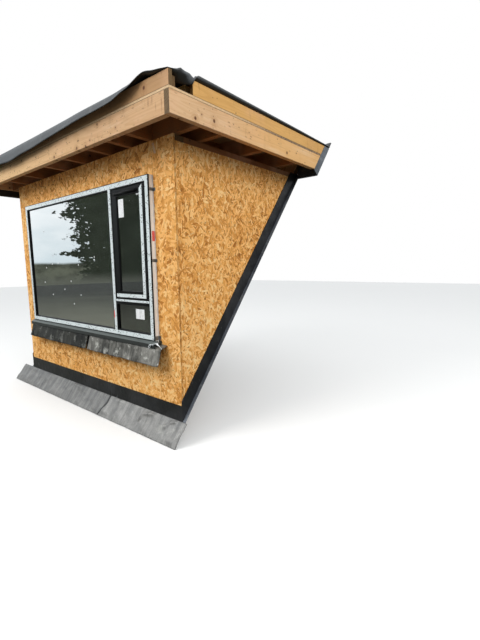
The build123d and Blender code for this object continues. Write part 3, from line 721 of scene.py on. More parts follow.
def roof_rubber():
    """Grey rubber sheet with a soft sheen, dust, water marks and faint creases."""
    rubber = Finish("roof_rubber", 0.5, Specular_IOR_Level=0.35)
    dust = rubber.cloud(rubber.place, 2.4, detail=6.0, rough=0.6, warp=0.4)
    fine = rubber.cloud(rubber.place, 60.0, detail=4.0)
    x, y, _ = rubber.axes()
    pool = rubber.cloud(rubber.point(x, y, 0.0), 1.5, detail=4.0, rough=0.5, warp=0.3)
    mark = (pool - 0.54).size().step(0.035, 0.0)
    sway = (rubber.cloud(rubber.point(x * 1.0, y * 2.0, 0.0), 1.0) - 0.5) * 0.06
    crease = ((x + sway) * 0.95 + 0.2).part().size().step(0.009, 0.003)
    colour = rubber.blend(dust.step(0.35, 0.75), seen(38, 40, 43), seen(64, 67, 70))
    colour = rubber.blend(mark * 0.12, colour, seen(120, 122, 122))
    colour = rubber.blend(crease * 0.12, colour, seen(100, 102, 104))
    return rubber.finished(colour, fine * 0.15 + dust + crease * 0.5, 0.003, roughness=dust * 0.3 + 0.42)


def rubber_back():
    """Black underside of the roof sheet."""
    back = Finish("rubber_back", 0.55)
    dust = back.cloud(back.place, 5.0, detail=5.0)
    fine = back.cloud(back.place, 160.0, detail=2.0)
    colour = back.blend(dust, seen(13, 13, 14), seen(27, 27, 28))
    return back.finished(colour, dust + fine * 0.1, 0.001, roughness=dust * 0.25 + 0.42)


# Roof sheet

SHEET_THICKNESS = 0.0026
SHEET_GAP = 0.003          # the sheet's middle above what it lies on
LEFT_DROP = 0.338          # how far it hangs down the left side
FRONT_FLAP = 0.140         # sheet that hangs over the front
REAR_LAP = 0.070           # how far it runs up the slope
ROLL_PATH = 0.190          # sheet taken up by the rolled right edge
EDGE_WIDTH = 0.250         # strip beside the right kerb that follows the sections below
DRAPE = 0.010              # the hanging left side clear of the kerb
CURL = 0.006               # outward curl of the front hem

# The front hem, from the left: place along the front, reach in front of the kerb, drop below its top
FRONT_HEM = (
    (-1.65, 0.060, 0.118), (-1.00, 0.060, 0.125), (-0.74, 0.060, 0.138), (-0.45, 0.060, 0.124),
    (-0.20, 0.060, 0.118), (0.08, 0.060, 0.104), (0.35, 0.060, 0.091), (1.10, 0.060, 0.071),
    (1.22, 0.060, 0.049), (1.30, 0.053, 0.030), (1.345, 0.044, 0.002), (1.391, 0.036, -0.021),
    (1.433, 0.034, -0.029), (1.471, 0.030, -0.027), (1.507, 0.026, -0.019), (1.542, 0.022, -0.014),
    (1.576, 0.017, -0.011), (1.609, 0.012, -0.007), (1.637, 0.004, -0.004), (1.65, 0.001, -0.003))

# The sheet's right edge: depth of a section, then its points, out from the kerb's face and up from its top.
# It is turned under over the front kerb, droops between the kerbs, and is rolled back on the right kerb.
# Each section starts flat on the roof, EDGE_WIDTH in from the kerb's face.
RIGHT_EDGE = (
    (-0.3085, (-0.130, 0.004), (-0.060, 0.005), (-0.020, 0.005), (-0.004, 0.004),
     (-0.010, 0.003), (-0.030, 0.003), (-0.055, 0.003), (-0.080, 0.003)),
    (-0.2800, (-0.130, 0.005), (-0.060, 0.008), (-0.020, 0.009), (0.002, 0.006),
     (-0.008, 0.004), (-0.025, 0.003), (-0.045, 0.003), (-0.065, 0.003)),
    (-0.2650, (-0.130, 0.006), (-0.065, 0.010), (-0.022, 0.012), (0.006, 0.008),
     (0.002, -0.006), (-0.016, -0.012), (-0.038, -0.013), (-0.060, -0.013)),
    (-0.2380, (-0.130, 0.008), (-0.068, 0.015), (-0.026, 0.020), (0.006, 0.016),
     (0.004, -0.002), (-0.014, -0.012), (-0.036, -0.014), (-0.058, -0.014)),
    (-0.2140, (-0.130, 0.010), (-0.070, 0.022), (-0.026, 0.030), (0.010, 0.029),
     (0.008, 0.004), (-0.008, -0.016), (-0.030, -0.030), (-0.050, -0.036)),
    (-0.1700, (-0.130, 0.011), (-0.078, 0.024), (-0.036, 0.035), (-0.008, 0.034),
     (0.012, 0.010), (0.000, -0.014), (-0.018, -0.032), (-0.036, -0.040)),
    (-0.1250, (-0.130, 0.011), (-0.084, 0.024), (-0.050, 0.037), (-0.022, 0.041),
     (0.002, 0.024), (0.014, -0.006), (0.013, -0.028), (0.006, -0.040)),
    (-0.1030, (-0.130, 0.006), (-0.075, 0.012), (-0.038, 0.018), (-0.010, 0.019),
     (0.006, 0.008), (0.012, -0.006), (0.012, -0.014), (0.010, -0.018)),
    (-0.0780, (-0.130, 0.004), (-0.060, 0.004), (-0.020, 0.005), (0.004, 0.009),
     (0.013, 0.013), (0.014, 0.020), (0.008, 0.027), (-0.004, 0.031)),
    (-0.0500, (-0.120, 0.003), (-0.050, 0.003), (-0.008, 0.004), (0.012, 0.011),
     (0.014, 0.029), (0.000, 0.042), (-0.030, 0.039), (-0.060, 0.024)),
    (0.1400, (-0.120, 0.003), (-0.050, 0.003), (-0.006, 0.004), (0.012, 0.011),
     (0.014, 0.027), (0.000, 0.040), (-0.032, 0.036), (-0.066, 0.021)),
    (1.2500, (-0.120, 0.003), (-0.050, 0.003), (-0.006, 0.004), (0.009, 0.009),
     (0.010, 0.019), (-0.002, 0.028), (-0.032, 0.026), (-0.066, 0.015)),
    (1.8300, (-0.120, 0.003), (-0.050, 0.003), (-0.006, 0.004), (0.006, 0.008),
     (0.006, 0.013), (-0.004, 0.018), (-0.034, 0.017), (-0.068, 0.010)),
    (1.9400, (-0.120, 0.003), (-0.050, 0.003), (-0.006, 0.003), (0.001, 0.005),
     (0.000, 0.008), (-0.008, 0.010), (-0.038, 0.009), (-0.070, 0.007)))

# The crease at the corner, depth and height above the kerb's top: in front of it the sheet is given the black
# finish of its back, painted shade where it faces down and away from the light
CREASE = ((-0.214, 0.034), (-0.121, -0.042))
HUMP = (1.41, 0.07, 0.14, 0.018)    # on the front kerb: place across, width, depth and height


def smooth(value, start=0.0, end=1.0):
    """0 below start and 1 above end, with a smooth way between."""
    share = min(max((value - start) / (end - start), 0.0), 1.0)
    return share * share * (3 - 2 * share)


def through(stations, at):
    """Values, at one place, of a smooth line through stations whose first number rises."""
    last = len(stations) - 1
    at = min(max(at, stations[0][0]), stations[last][0])
    i = next((k for k in range(1, last) if stations[k][0] >= at), last)
    before, start, end, after = (stations[min(max(k, 0), last)] for k in (i - 2, i - 1, i, i + 1))
    span = end[0] - start[0]
    t = (at - start[0]) / span
    values = []
    for b, s, e, a in zip(before[1:], start[1:], end[1:], after[1:]):
        rise = (e - b) / (end[0] - before[0]) * span
        leave = (a - s) / (after[0] - start[0]) * span
        values.append((2 * t**3 - 3 * t**2 + 1) * s + (t**3 - 2 * t**2 + t) * rise
                      + (3 * t**2 - 2 * t**3) * e + (t**3 - t**2) * leave)
    return values


def ripple(x, y, seed):
    """Smooth waves of about -0.5 to 0.5 over a surface."""
    return noise.noise(Vector((x, y, seed)))


def sheet_lift(x, y):
    """How far the loose sheet rises: slow waves, a hump at the front and a sag behind the kerb."""
    inside = smooth(x, roof_left, roof_left + 0.15)
    slow = ripple(x * 1.3, y * 1.7, 0.3) + 0.4 * ripple(x * 4.0, y * 3.0, 2.0)
    sag = smooth(y, kerb_back, kerb_back + 0.06) * (1 - smooth(y, foam_front - 0.06, foam_front))
    across, wide, deep, high = HUMP
    hump = high * math.exp(-((x - across) / wide) ** 2 - ((y - roof_front) / deep) ** 2)
    return 0.0025 * inside * (1.0 + slow) - 0.010 * sag * inside + hump


def edge_point(share, y):
    """Point of the right edge strip: how far along its section it is, and the depth of the section."""
    last = len(RIGHT_EDGE) - 1
    y = min(max(y, RIGHT_EDGE[0][0]), RIGHT_EDGE[last][0])
    i = next((k for k in range(1, last) if RIGHT_EDGE[k][0] >= y), last)
    front, back = RIGHT_EDGE[i - 1], RIGHT_EDGE[i]
    mix = (y - front[0]) / (back[0] - front[0])
    points = [(0, -EDGE_WIDTH, SHEET_GAP)]
    points += [(k, a[0] + (b[0] - a[0]) * mix, a[1] + (b[1] - a[1]) * mix)
               for k, (a, b) in enumerate(zip(front[1:], back[1:]), 1)]
    return through(points, share * (len(points) - 1))


def front_fall(reach, x, height):
    """Out and down, for sheet that hangs over the front from a height above the kerb."""
    out, drop = through(FRONT_HEM, x)
    share = reach / FRONT_FLAP
    turn = min(share, 1.0) * 0.5 * math.pi
    out *= 1.0 + 0.12 * ripple(x * 2.3, 0.0, 4.0)
    curl = CURL * smooth(share, 0.8, 1.0) * smooth(drop, 0.0, 0.06)
    return out * math.sin(turn) + curl, (height + drop) * (1 - math.cos(turn)) + max(reach - FRONT_FLAP, 0.0)


def side_fall(reach, y):
    """Out and down, for sheet that hangs over the left kerb."""
    wave = 0.012 * ripple(0.0, y * 2.2, 9.0) * smooth(reach, 0.0, 0.2)
    return DRAPE * smooth(reach, 0.0, 0.03) - wave, reach


def corner_point(s, t, height):
    """Place of a point beyond both edges at the left front corner, where spare sheet folds into an ear."""
    reach = math.hypot(s, t)
    front = math.atan2(-t, -s) / (0.5 * math.pi)
    side = 1 - front
    lean = min(front, side) * 0.5 * math.pi
    side_out, side_down = side_fall(reach, roof_front)
    front_out, front_down = front_fall(reach, roof_left, height)
    ear = reach * math.sin(lean) * 0.95
    apart = 0.004 * math.sin(2 * lean) * (1.0 if front < 0.5 else -1.0)
    down = side_down * side + front_down * front
    return (roof_left - side_out * side - ear * 0.75 - apart,
            roof_front - front_out * front - ear * 0.45 + apart,
            kerb_top + height - down * math.cos(lean))


def sheet_point(s, t):
    """Place of a point of the sheet: s from the roof's left edge, t from its front edge, in the flat."""
    flat = roof_right - roof_left - EDGE_WIDTH
    depth = slope_depth(kerb_top) - roof_front
    y = roof_front + max(t, 0.0)
    x = roof_left + min(max(s, 0.0), flat)
    front_x = x
    height = SHEET_GAP + sheet_lift(x, y)
    if s > flat:
        share = (s - flat) / (EDGE_WIDTH + ROLL_PATH)
        x, height = edge_point(share, y)
        x += roof_right
        height += sheet_lift(x, y) * (1 - smooth(share, 0.0, 0.25))
        front_x = x if share < 0.5 else roof_right
    if s < 0 and t < 0:
        return corner_point(s, t, height)
    down = 0.0
    if s < 0:
        out, down = side_fall(-s, y)
        x = roof_left - out
    if t < 0:
        out, down = front_fall(-t, front_x, height)
        return x, roof_front - out, kerb_top + height - down
    if t > depth:
        up = t - depth
        y = slope_depth(kerb_top) + up * math.cos(PITCH) - height * math.sin(PITCH)
        return x, y, kerb_top + up * math.sin(PITCH) + height * math.cos(PITCH) - down
    return x, y, kerb_top + height - down


def steps(start, end, count):
    """Places from start up to, but not at, end."""
    return [start + (end - start) * i / count for i in range(count)]


def roof_sheet():
    """The loose roof sheet: hem in front, lap on the slope behind, left side hanging, right side rolled."""
    width = roof_right - roof_left
    depth = slope_depth(kerb_top) - roof_front
    flat = width - EDGE_WIDTH
    fine = 0.32            # depth behind the front edge that is laid in narrow rows
    columns = steps(-LEFT_DROP, 0.0, 16) + steps(0.0, flat, 132) + steps(flat, width + ROLL_PATH, 48)
    columns.append(width + ROLL_PATH)
    rows = steps(-FRONT_FLAP, 0.0, 12) + steps(0.0, fine, 40) + steps(fine, depth, 70)
    rows += steps(depth, depth + REAR_LAP, 8) + [depth + REAR_LAP]
    verts = [sheet_point(s, t) for s in columns for t in rows]
    count = len(rows)
    faces = [(a, a + count, a + count + 1, a + 1) for i in range(len(columns) - 1)
             for a in range(i * count, i * count + count - 1)]
    mesh = bpy.data.meshes.new("roof_sheet")
    mesh.from_pydata(verts, [], faces)
    mesh.materials.append(roof_rubber())
    mesh.materials.append(rubber_back())
    (y0, z0), (y1, z1) = CREASE
    for face in mesh.polygons:
        face.use_smooth = True
        x, y, z = face.center
        line = y0 + (y1 - y0) * (z - kerb_top - z0) / (z1 - z0)
        # Faces in front of the crease take the black back finish: painted shade.
        if x > roof_right - 0.07 and kerb_back < y < line and z < kerb_top + z0:
            face.material_index = 1
    made = piece("roof_sheet", mesh)
    thicken(made, SHEET_THICKNESS).material_offset = 1
    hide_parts("roof_membrane")


# Lead

LEAD = 0.003               # thickness of the lead
APRON_DEPTH = 0.210
APRON_LAP = 0.405          # how far right the apron's left length goes under the other
# The right length's lapping edge is painted near black: painted shadow along the seam.
SEAM_SHARE = 0.024         # dark edge of the right length, as a share of it
DARK = -1.4                # its tone

# Lengths under the window: from where to where, how far they stand off, and their tone
SILL_LENGTHS = ((None, 0.106, 0.0, 0.0), (0.144, 0.8170, 0.002, 0.8), (0.8235, None, 0.006, 1.0))

# The right length's edge on the apron: share of the way down, and place across
APRON_SEAM = ((0.0, 0.363), (0.33, 0.378), (0.66, 0.350), (1.0, 0.308))

# Folds in the apron: their points, across and along the slope, then how high and how wide
APRON_FOLDS = (
    (((0.905, -0.212), (0.938, -0.155), (1.050, -0.134)), 0.016, 0.013),
    (((1.250, -0.190), (1.279, -0.145), (1.335, -0.126)), 0.014, 0.012),
    (((-1.380, -0.140), (-1.330, -0.240)), 0.010, 0.024))


def metal_sheet(name, patches, thickness, finish):
    """Bent sheet in one or more lengths: for each, its place function, its two rows of values and its tone.

    A tone runs from 0 to 1 between two greys, and is below 0 where painted shadow darkens it, along a lapped
    seam or a crease."""
    verts, faces, tones = [], [], []
    for place, alongs, downs, tone in patches:
        first, count = len(verts), len(downs)
        verts += [place(a, d) for a in alongs for d in downs]
        tones += [tone(a, d) if callable(tone) else tone for a in alongs for d in downs]
        faces += [(k, k + 1, k + count + 1, k + count) for i in range(len(alongs) - 1)
                  for k in range(first + i * count, first + i * count + count - 1)]
    mesh = bpy.data.meshes.new(name)
    mesh.from_pydata(verts, [], faces)
    mesh.attributes.new("tone", "FLOAT", "POINT").data.foreach_set("value", tones)
    for face in mesh.polygons:
        face.use_smooth = True
    made = piece(name, mesh, finish)
    thicken(made, thickness)
    return made


def sill_lead(finish, black):
    """Lead under the window in three lengths: it falls from the sill, folds, and hangs with a wavy foot."""
    low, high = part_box("sill_flashing")
    top, fold = (wall_face, high.z - LEAD / 2), (low.y + 0.0265, low.z + 0.1365)
    foot = (low.y + LEAD / 2, low.z + 0.002)
    downs = [0.0, 0.5, 0.8, 0.92, 0.97, 1.0, 1.02, 1.05, 1.1]     # 0 at the top, 1 at the fold, 2 at the foot
    downs += [1.1 + 0.9 * (i + 1) / 14 for i in range(14)]

    def length(start, end, lift):
        def place(x, down):
            start_point, end_point = (top, fold) if down < 1 else (fold, foot)
            share = down if down < 1 else down - 1
            y, z = (a + (b - a) * share for a, b in zip(start_point, end_point))
            soft = 0.0035 * max(0.0, 1 - abs(down - 1) / 0.08) ** 2
            hang = max(down - 1, 0.0)
            sway = 0.007 * ripple(x * 4.0, hang, 1.0) + 0.005 * ripple(x * 15.0, hang * 1.5, 2.0) + 0.004
            tip = smooth(0.06 - min(x - start, end - x), 0.0, 0.06)
            out = lift * smooth(down, 0.5, 1.0) + (sway + 0.010 * tip * hang) * hang
            rise = (0.004 * ripple(x * 9.0, 0.0, 5.0) + 0.006 * tip) * hang
            return x, y - out + soft, z + rise - soft
        return place

    patches = []
    for start, end, lift, tone in SILL_LENGTHS:
        start, end = (low.x if start is None else start), (high.x if end is None else end)
        count = max(int((end - start) / 0.011), 8)
        alongs = [start, start + 0.003, start + 0.006] + steps(start + 0.012, end - 0.012, count)
        patches.append((length(start, end, lift), alongs + [end - 0.006, end - 0.003, end], downs, tone))
    made = metal_sheet("sill_lead", patches, LEAD, finish)
    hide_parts("sill_flashing")
    # A black sheet behind the gap between the first two lengths: painted shadow in the joint, where there is
    # only shade.
    behind = length(0.05, 0.20, -0.014)
    shadow_sheet = [(behind, steps(0.085, 0.170, 8) + [0.170], downs[3:], 0.0)]
    metal_sheet("sill_lead_joint_shadow_sheet", shadow_sheet, LEAD / 2, black)


def fold_height(x, run, points, height, width):
    """How much a fold along a line of points raises the lead at one place."""
    here = Vector((x, run))
    near = 1.0
    for start, end in zip(points, points[1:]):
        start, end = Vector(start), Vector(end)
        side = end - start
        share = min(max((here - start).dot(side) / side.length_squared, 0.0), 1.0)
        near = min(near, (here - start - side * share).length)
    return height * math.exp(-(near / width) ** 2)


def apron(finish):
    """Lead apron at the foot of the front wall: two lengths that lap at a slanted seam."""
    low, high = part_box("front_apron")
    head = (wall_face - 0.008) / math.cos(PITCH)

    def on_slope(x, down, lift):
        run = head - APRON_DEPTH * down * (1.0 + 0.012 * ripple(x * 6.0, 0.0, 3.0))
        bump = max(ripple(x * 2.6, run * 7.0, 4.0) + 0.25, 0.0) * 0.013
        bump += max(ripple(x * 9.0, run * 13.0, 5.0), 0.0) * 0.011
        fade = smooth(down, 0.0, 0.12) * (1 - 0.6 * smooth(down, 0.8, 1.0))
        rise = LEAD / 2 + 0.0006 + lift + bump * fade
        rise += sum(fold_height(x, run, *fold) for fold in APRON_FOLDS) * smooth(down, 0.0, 0.08)
        return (x, run * math.cos(PITCH) - rise * math.sin(PITCH),
                run * math.sin(PITCH) + rise * math.cos(PITCH))

    def under(x, down):
        return on_slope(x, down, 0.0)

    def lapping(share, down):
        start = through(APRON_SEAM, down)[0]
        x = start + (high.x - start) * share
        return on_slope(x, down, 0.0045 * (1 - smooth(x, APRON_LAP - 0.005, APRON_LAP + 0.065)))

    # Near its left edge the right length takes the DARK tone: painted shadow along the lap.
    def right_tone(share, _):
        return DARK if share < SEAM_SHARE else 1.0

    rows = [i / 30 for i in range(31)]
    left = steps(low.x, APRON_LAP, 170) + [APRON_LAP]
    right = [0.0, 0.008, 0.016, SEAM_SHARE - 0.0005, SEAM_SHARE + 0.0005] + steps(0.030, 1.0, 120) + [1.0]
    patches = [(under, left, rows, 0.0), (lapping, right, rows, right_tone)]
    made = metal_sheet("apron_lead", patches, LEAD, finish)
    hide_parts("front_apron")


# Window trims

def bar(name, low, high, finish, bevel=0.0004):
    """A straight strip with softened edges."""
    work = bmesh.new()
    bmesh.ops.create_cube(work, size=1.0)
    size = Vector(high) - Vector(low)
    work.transform(Matrix.Translation((Vector(low) + Vector(high)) / 2) @ Matrix.Diagonal((*size, 1.0)))
    bmesh.ops.bevel(work, geom=work.edges[:], offset=bevel, segments=2, affect="EDGES")
    return piece(name, mesh_of(name, work), finish)


def extrude(work, corners, move):
    """A solid from a flat outline and how far it reaches."""
    face = work.faces.new([work.verts.new(corner) for corner in corners])
    grown = bmesh.ops.extrude_face_region(work, geom=[face])
    moved = [v for v in grown["geom"] if isinstance(v, bmesh.types.BMVert)]
    bmesh.ops.translate(work, vec=move, verts=moved)
    bmesh.ops.recalc_face_normals(work, faces=work.faces[:])


def plate(name, corners, front, back, finish, bevel=0.0003):
    """A flat piece, upright and facing forward, cut to a list of corners across and up."""
    work = bmesh.new()
    extrude(work, [(x, back, z) for x, z in corners], (0.0, front - back, 0.0))
    bmesh.ops.bevel(work, geom=work.edges[:], offset=bevel, segments=1, affect="EDGES")
    return piece(name, mesh_of(name, work), finish)


def protective_film():
    """White-blue protective film with short dark printed ticks and a few scuffs."""
    film = Finish("protective_film", 0.35)
    wrinkle = film.cloud(film.stretch(12.0, 12.0, 12.0), detail=5.0, rough=0.6)
    x, _, z = film.axes()
    slanted = film.point(x * 52.0 + z * 30.0, 0.0, z * 70.0 - x * 36.0)
    tick = film.spots(slanted, 0.20, 0.36, 0.30, 0.32)
    scuff = film.cloud(film.stretch(30.0, 30.0, 30.0), detail=4.0, rough=0.7).step(0.6, 0.72)
    colour = film.blend(wrinkle, seen(240, 246, 246), seen(206, 220, 220))
    colour = film.blend(scuff * 0.35, colour, seen(150, 160, 160))
    colour = film.blend(tick * 0.95, colour, seen(14, 20, 22))
    return film.finished(colour, wrinkle, 0.002, roughness=wrinkle * 0.3 + 0.2)


FILM_WIDTH = 0.037
FILM_INSET = 0.006         # from the frame's outer edge
BAR_FILM = 0.036           # width of the film on the mullion and the sash
TRANSOM_FILM = 0.018
FILM_JOINT = 0.001


def window_film():
    """Strips of film on the outer part of the frame, the mullion, the transom and the sash."""
    finish = protective_film()
    left, right = window_low.x + FILM_INSET, window_high.x - FILM_INSET
    foot, head = window_low.z + FILM_INSET, window_high.z - FILM_INSET
    inner_left, inner_right = left + FILM_WIDTH, right - FILM_WIDTH
    inner_foot, inner_head = foot + FILM_WIDTH, head - FILM_WIDTH
    low, high = inner_foot + FILM_JOINT, inner_head - FILM_JOINT
    mullion_left = pane_high.x + 0.005
    mullion_right = mullion_left + BAR_FILM
    beside = mullion_left + 2 * FILM_JOINT
    transom = lower_high.z + 0.018
    transom_top = transom + TRANSOM_FILM
    sash_left, sash_right = sash_low.x + 0.002, sash_high.x - 0.024
    rail, stile = sash_low.z + 0.006, sash_right - BAR_FILM
    rail_top = rail + 0.030
    strips = {
        "film_top_left": rectangle(left, inner_head, mullion_left, head),
        "film_top_right": [(beside, inner_head), (inner_right, inner_head), (right - FILM_JOINT, head),
                           (beside, head)],
        "film_bottom": [(left, foot), (right - FILM_JOINT, foot), (inner_right, inner_foot),
                        (left, inner_foot)],
        "film_left": rectangle(left, low, inner_left, high),
        "film_right": [(inner_right + FILM_JOINT, low), (right, foot + FILM_JOINT),
                       (right, head - FILM_JOINT), (inner_right + FILM_JOINT, high)],
        "film_mullion": rectangle(mullion_left, low, mullion_right, high),
        "film_transom": rectangle(mullion_right + 0.006, transom, inner_right - 0.004, transom_top),
        "film_sash_stile": [(stile, rail_top + FILM_JOINT), (sash_right, rail_top + FILM_JOINT),
                            (sash_right, sash_high.z - 0.002), (stile, sash_high.z - 0.030)],
        "film_sash_rail": rectangle(sash_left, rail, sash_right, rail_top),
    }
    for name, corners in strips.items():
        plate(name, corners, window_face - 0.0012, window_face + 0.0002, finish)


def paper_label():
    """White paper label with plain grey lines and a small dark square."""
    paper = Finish("paper_label", 0.6)
    x, _, z = paper.axes()
    fibres = paper.cloud(paper.place, 300.0)
    words = paper.cloud(paper.stretch(80.0, 1.0, 3.0)).step(0.5, 0.52)
    lines = (z * 90.0).part().step(0.55, 0.6) * words
    square = paper.spots(paper.point(x * 14.0, 0.0, z * 14.0), 0.10, 0.13, 0.4, 0.42)
    colour = paper.blend(fibres * 0.3, seen(252, 253, 252), seen(238, 240, 240))
    colour = paper.blend(lines * 0.5, colour, seen(104, 108, 110))
    colour = paper.blend(square * 0.8, colour, seen(52, 54, 56))
    return paper.finished(colour, fibres, 0.0002)


# Labels on the glass: left, foot, right and head
SASH_LABEL = (0.712, 1.548, 0.786, 1.695)
LOWER_LABEL = (0.884, 0.706, 1.000, 0.790)


def labels():
    """Blank labels, one near the top of the sash and one near the right end of the lower pane."""
    finish = paper_label()
    sash_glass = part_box("opening_light_pane")[0].y
    for name, corners, glass in (("sash_label", SASH_LABEL, sash_glass),
                                 ("lower_label", LOWER_LABEL, lower_low.y)):
        plate(name, rectangle(*corners), glass - 0.0008, glass, finish, 0.0002)


# Small fittings

def plain(name, light, dark, roughness, metal=0.0, scale=30.0):
    """A plain coated or metal surface with faint mottling."""
    made = Finish(name, roughness, Metallic=metal, Specular_IOR_Level=0.35)
    mottle = made.cloud(made.place, scale, detail=5.0, rough=0.65)
    colour = made.blend(mottle.step(0.3, 0.7), light, dark)
    return made.finished(colour, mottle, 0.0005, roughness=mottle * 0.3 + roughness - 0.15)


def screw_head(work, place, axis, radius=0.0042):
    """A low domed head."""
    turn = Vector((0, 0, 1)).rotation_difference(Vector(axis)).to_matrix().to_4x4()
    bmesh.ops.create_cone(work, cap_ends=True, segments=16, radius1=radius, radius2=radius * 0.62,
                          depth=0.0018, matrix=Matrix.Translation(place) @ turn)


# Straps on the frame's right side: height of the middle, how tall, and how far they reach over the wall
STRAPS = {"upper_strap": (1.727, 0.024, 0.026), "lower_strap": (1.186, 0.024, 0.016),
          "foot_bracket": (0.566, 0.034, 0.020)}
STRAP = 0.0016             # thickness


def frame_straps():
    """Steel straps that hold the frame's right side to the wall, and a bracket at its foot."""
    steel = plain("zinc_steel", seen(150, 152, 152), seen(96, 98, 98), 0.45, metal=0.6)
    side, front = window_high.x, window_face + 0.012
    face = wall_face - 0.0022
    for name, (z, tall, reach) in STRAPS.items():
        work = bmesh.new()
        outline = [(side, front), (side + STRAP, front), (side + STRAP, face - STRAP),
                   (side + reach, face - STRAP), (side + reach, face), (side, face)]
        extrude(work, [(x, y, z - tall / 2) for x, y in outline], (0.0, 0.0, tall))
        for level in (-0.25, 0.25):
            screw_head(work, (side + STRAP + 0.0006, front + 0.010, z + tall * level), (1, 0, 0))
        piece(name, mesh_of(name, work), steel)


def tapes():
    """Red tape on the frame's right side, and a scrap of it on the mullion."""
    red = plain("red_tape", seen(226, 112, 108), seen(206, 74, 70), 0.5)
    side, left = window_high.x, pane_high.x
    bar("side_tape", (side, window_face + 0.018, 1.336), (side + 0.0008, window_face + 0.045, 1.413),
        red, 0.0002)
    scrap = [(left + 0.002, 0.692), (left + 0.016, 0.700), (left + 0.014, 0.764), (left + 0.003, 0.752)]
    plate("mullion_tape", scrap, window_face - 0.0022, window_face - 0.0002, red)


def drip_bar(finish):
    """Black bar along the opening light's head, with rounded ends."""
    work = bmesh.new()
    length, radius = 0.320, 0.011
    middle = (sash_low.x + 0.035 + length / 2, window_face - 0.006, sash_high.z - 0.036)
    oval = Matrix.Rotation(math.radians(90.0), 4, "Y") @ Matrix.Diagonal((1.15, 0.75, 1.0, 1.0))
    bmesh.ops.create_cone(work, cap_ends=True, segments=28, radius1=radius, radius2=radius, depth=length,
                          matrix=Matrix.Translation(middle) @ oval)
    rims = [e for e in work.edges if any(len(f.verts) > 4 for f in e.link_faces)]
    bmesh.ops.bevel(work, geom=rims, offset=0.006, segments=5, affect="EDGES")
    piece("sash_drip_bar", mesh_of("sash_drip_bar", work, smooth=True), finish)


# Places of the pads on the large pane, across and up
PADS = ((-0.739, 1.532), (-0.569, 1.271), (-0.458, 1.189), (-0.597, 1.182), (-0.744, 1.145), (-0.205, 1.005),
        (-0.805, 0.986), (-0.353, 0.918), (-0.629, 0.855), (-0.023, 0.871), (-0.171, 0.777), (0.271, 1.236),
        (-0.035, 1.166))
PAD = 0.0016               # thickness


def glass_pads():
    """Small white pads stuck on the large pane."""
    white = plain("white_pad", seen(236, 238, 236), seen(214, 218, 216), 0.6)
    work = bmesh.new()
    for x, z in PADS:
        place = Matrix.Translation((x, pane_low.y - PAD / 2, z)) @ Matrix.Rotation(math.radians(90), 4, "X")
        bmesh.ops.create_cone(work, cap_ends=True, segments=14, radius1=0.0075, radius2=0.006, depth=PAD,
                              matrix=place)
    piece("glass_pads", mesh_of("glass_pads", work), white)


# Middle lines of the torn scrap's three tails
SCRAP_PATHS = (
    ((1.088, -0.128, 0.480), (1.104, -0.131, 0.512), (1.140, -0.130, 0.522), (1.176, -0.129, 0.531),
     (1.215, -0.128, 0.541), (1.222, -0.126, 0.566)),
    ((1.150, -0.131, 0.518), (1.190, -0.133, 0.538), (1.236, -0.131, 0.520), (1.262, -0.130, 0.500)),
    ((1.098, -0.129, 0.502), (1.116, -0.134, 0.494), (1.128, -0.131, 0.514)))
SCRAP_SHIFT = sill_low.y + 0.124


def film_scrap():
    """A torn scrap of white film caught on the sill's right end: three twisted tails."""
    white = plain("torn_film", seen(244, 246, 246), seen(206, 212, 212), 0.4)

    def tail(points, seed):
        stations = [(i, *point) for i, point in enumerate(points)]

        def place(at, side):
            x, y, z = through(stations, at)
            width = 0.0055 * (0.7 + 0.6 * ripple(at * 1.7, seed, 6.0))
            twist = 2.2 * ripple(at * 0.9, seed, 7.0)
            return x, y + SCRAP_SHIFT + side * width * math.sin(twist), z + side * width * math.cos(twist)
        return place

    patches = []
    for seed, points in enumerate(SCRAP_PATHS):
        last = len(points) - 1
        places = steps(0.0, last, 7 * last) + [last]
        patches.append((tail(points, seed), places, [-1.0, -0.3, 0.3, 1.0], 0.0))
    metal_sheet("film_scrap", patches, 0.0008, white)


# Light, floor and camera

def set_camera():
    """The photograph's place and angle."""
    data = bpy.data.cameras.new("camera")
    data.sensor_width = 36.0
    data.lens = 21.26
    camera = bpy.data.objects.new("camera", data)
    camera.location = (3.580, -1.958, 1.127)
    camera.rotation_euler = [math.radians(turn) for turn in (82.04, 0.64, 39.80)]
    bpy.context.scene.collection.objects.link(camera)
    bpy.context.scene.camera = camera


DARK_SIDE = -0.887         # where the dark side that gloss mirrors begins

# Its ledges: height, thickness and reach
LEDGES = ((0.036, 0.010, 0.022), (0.074, 0.012, 0.012), (0.126, 0.018, 0.010))


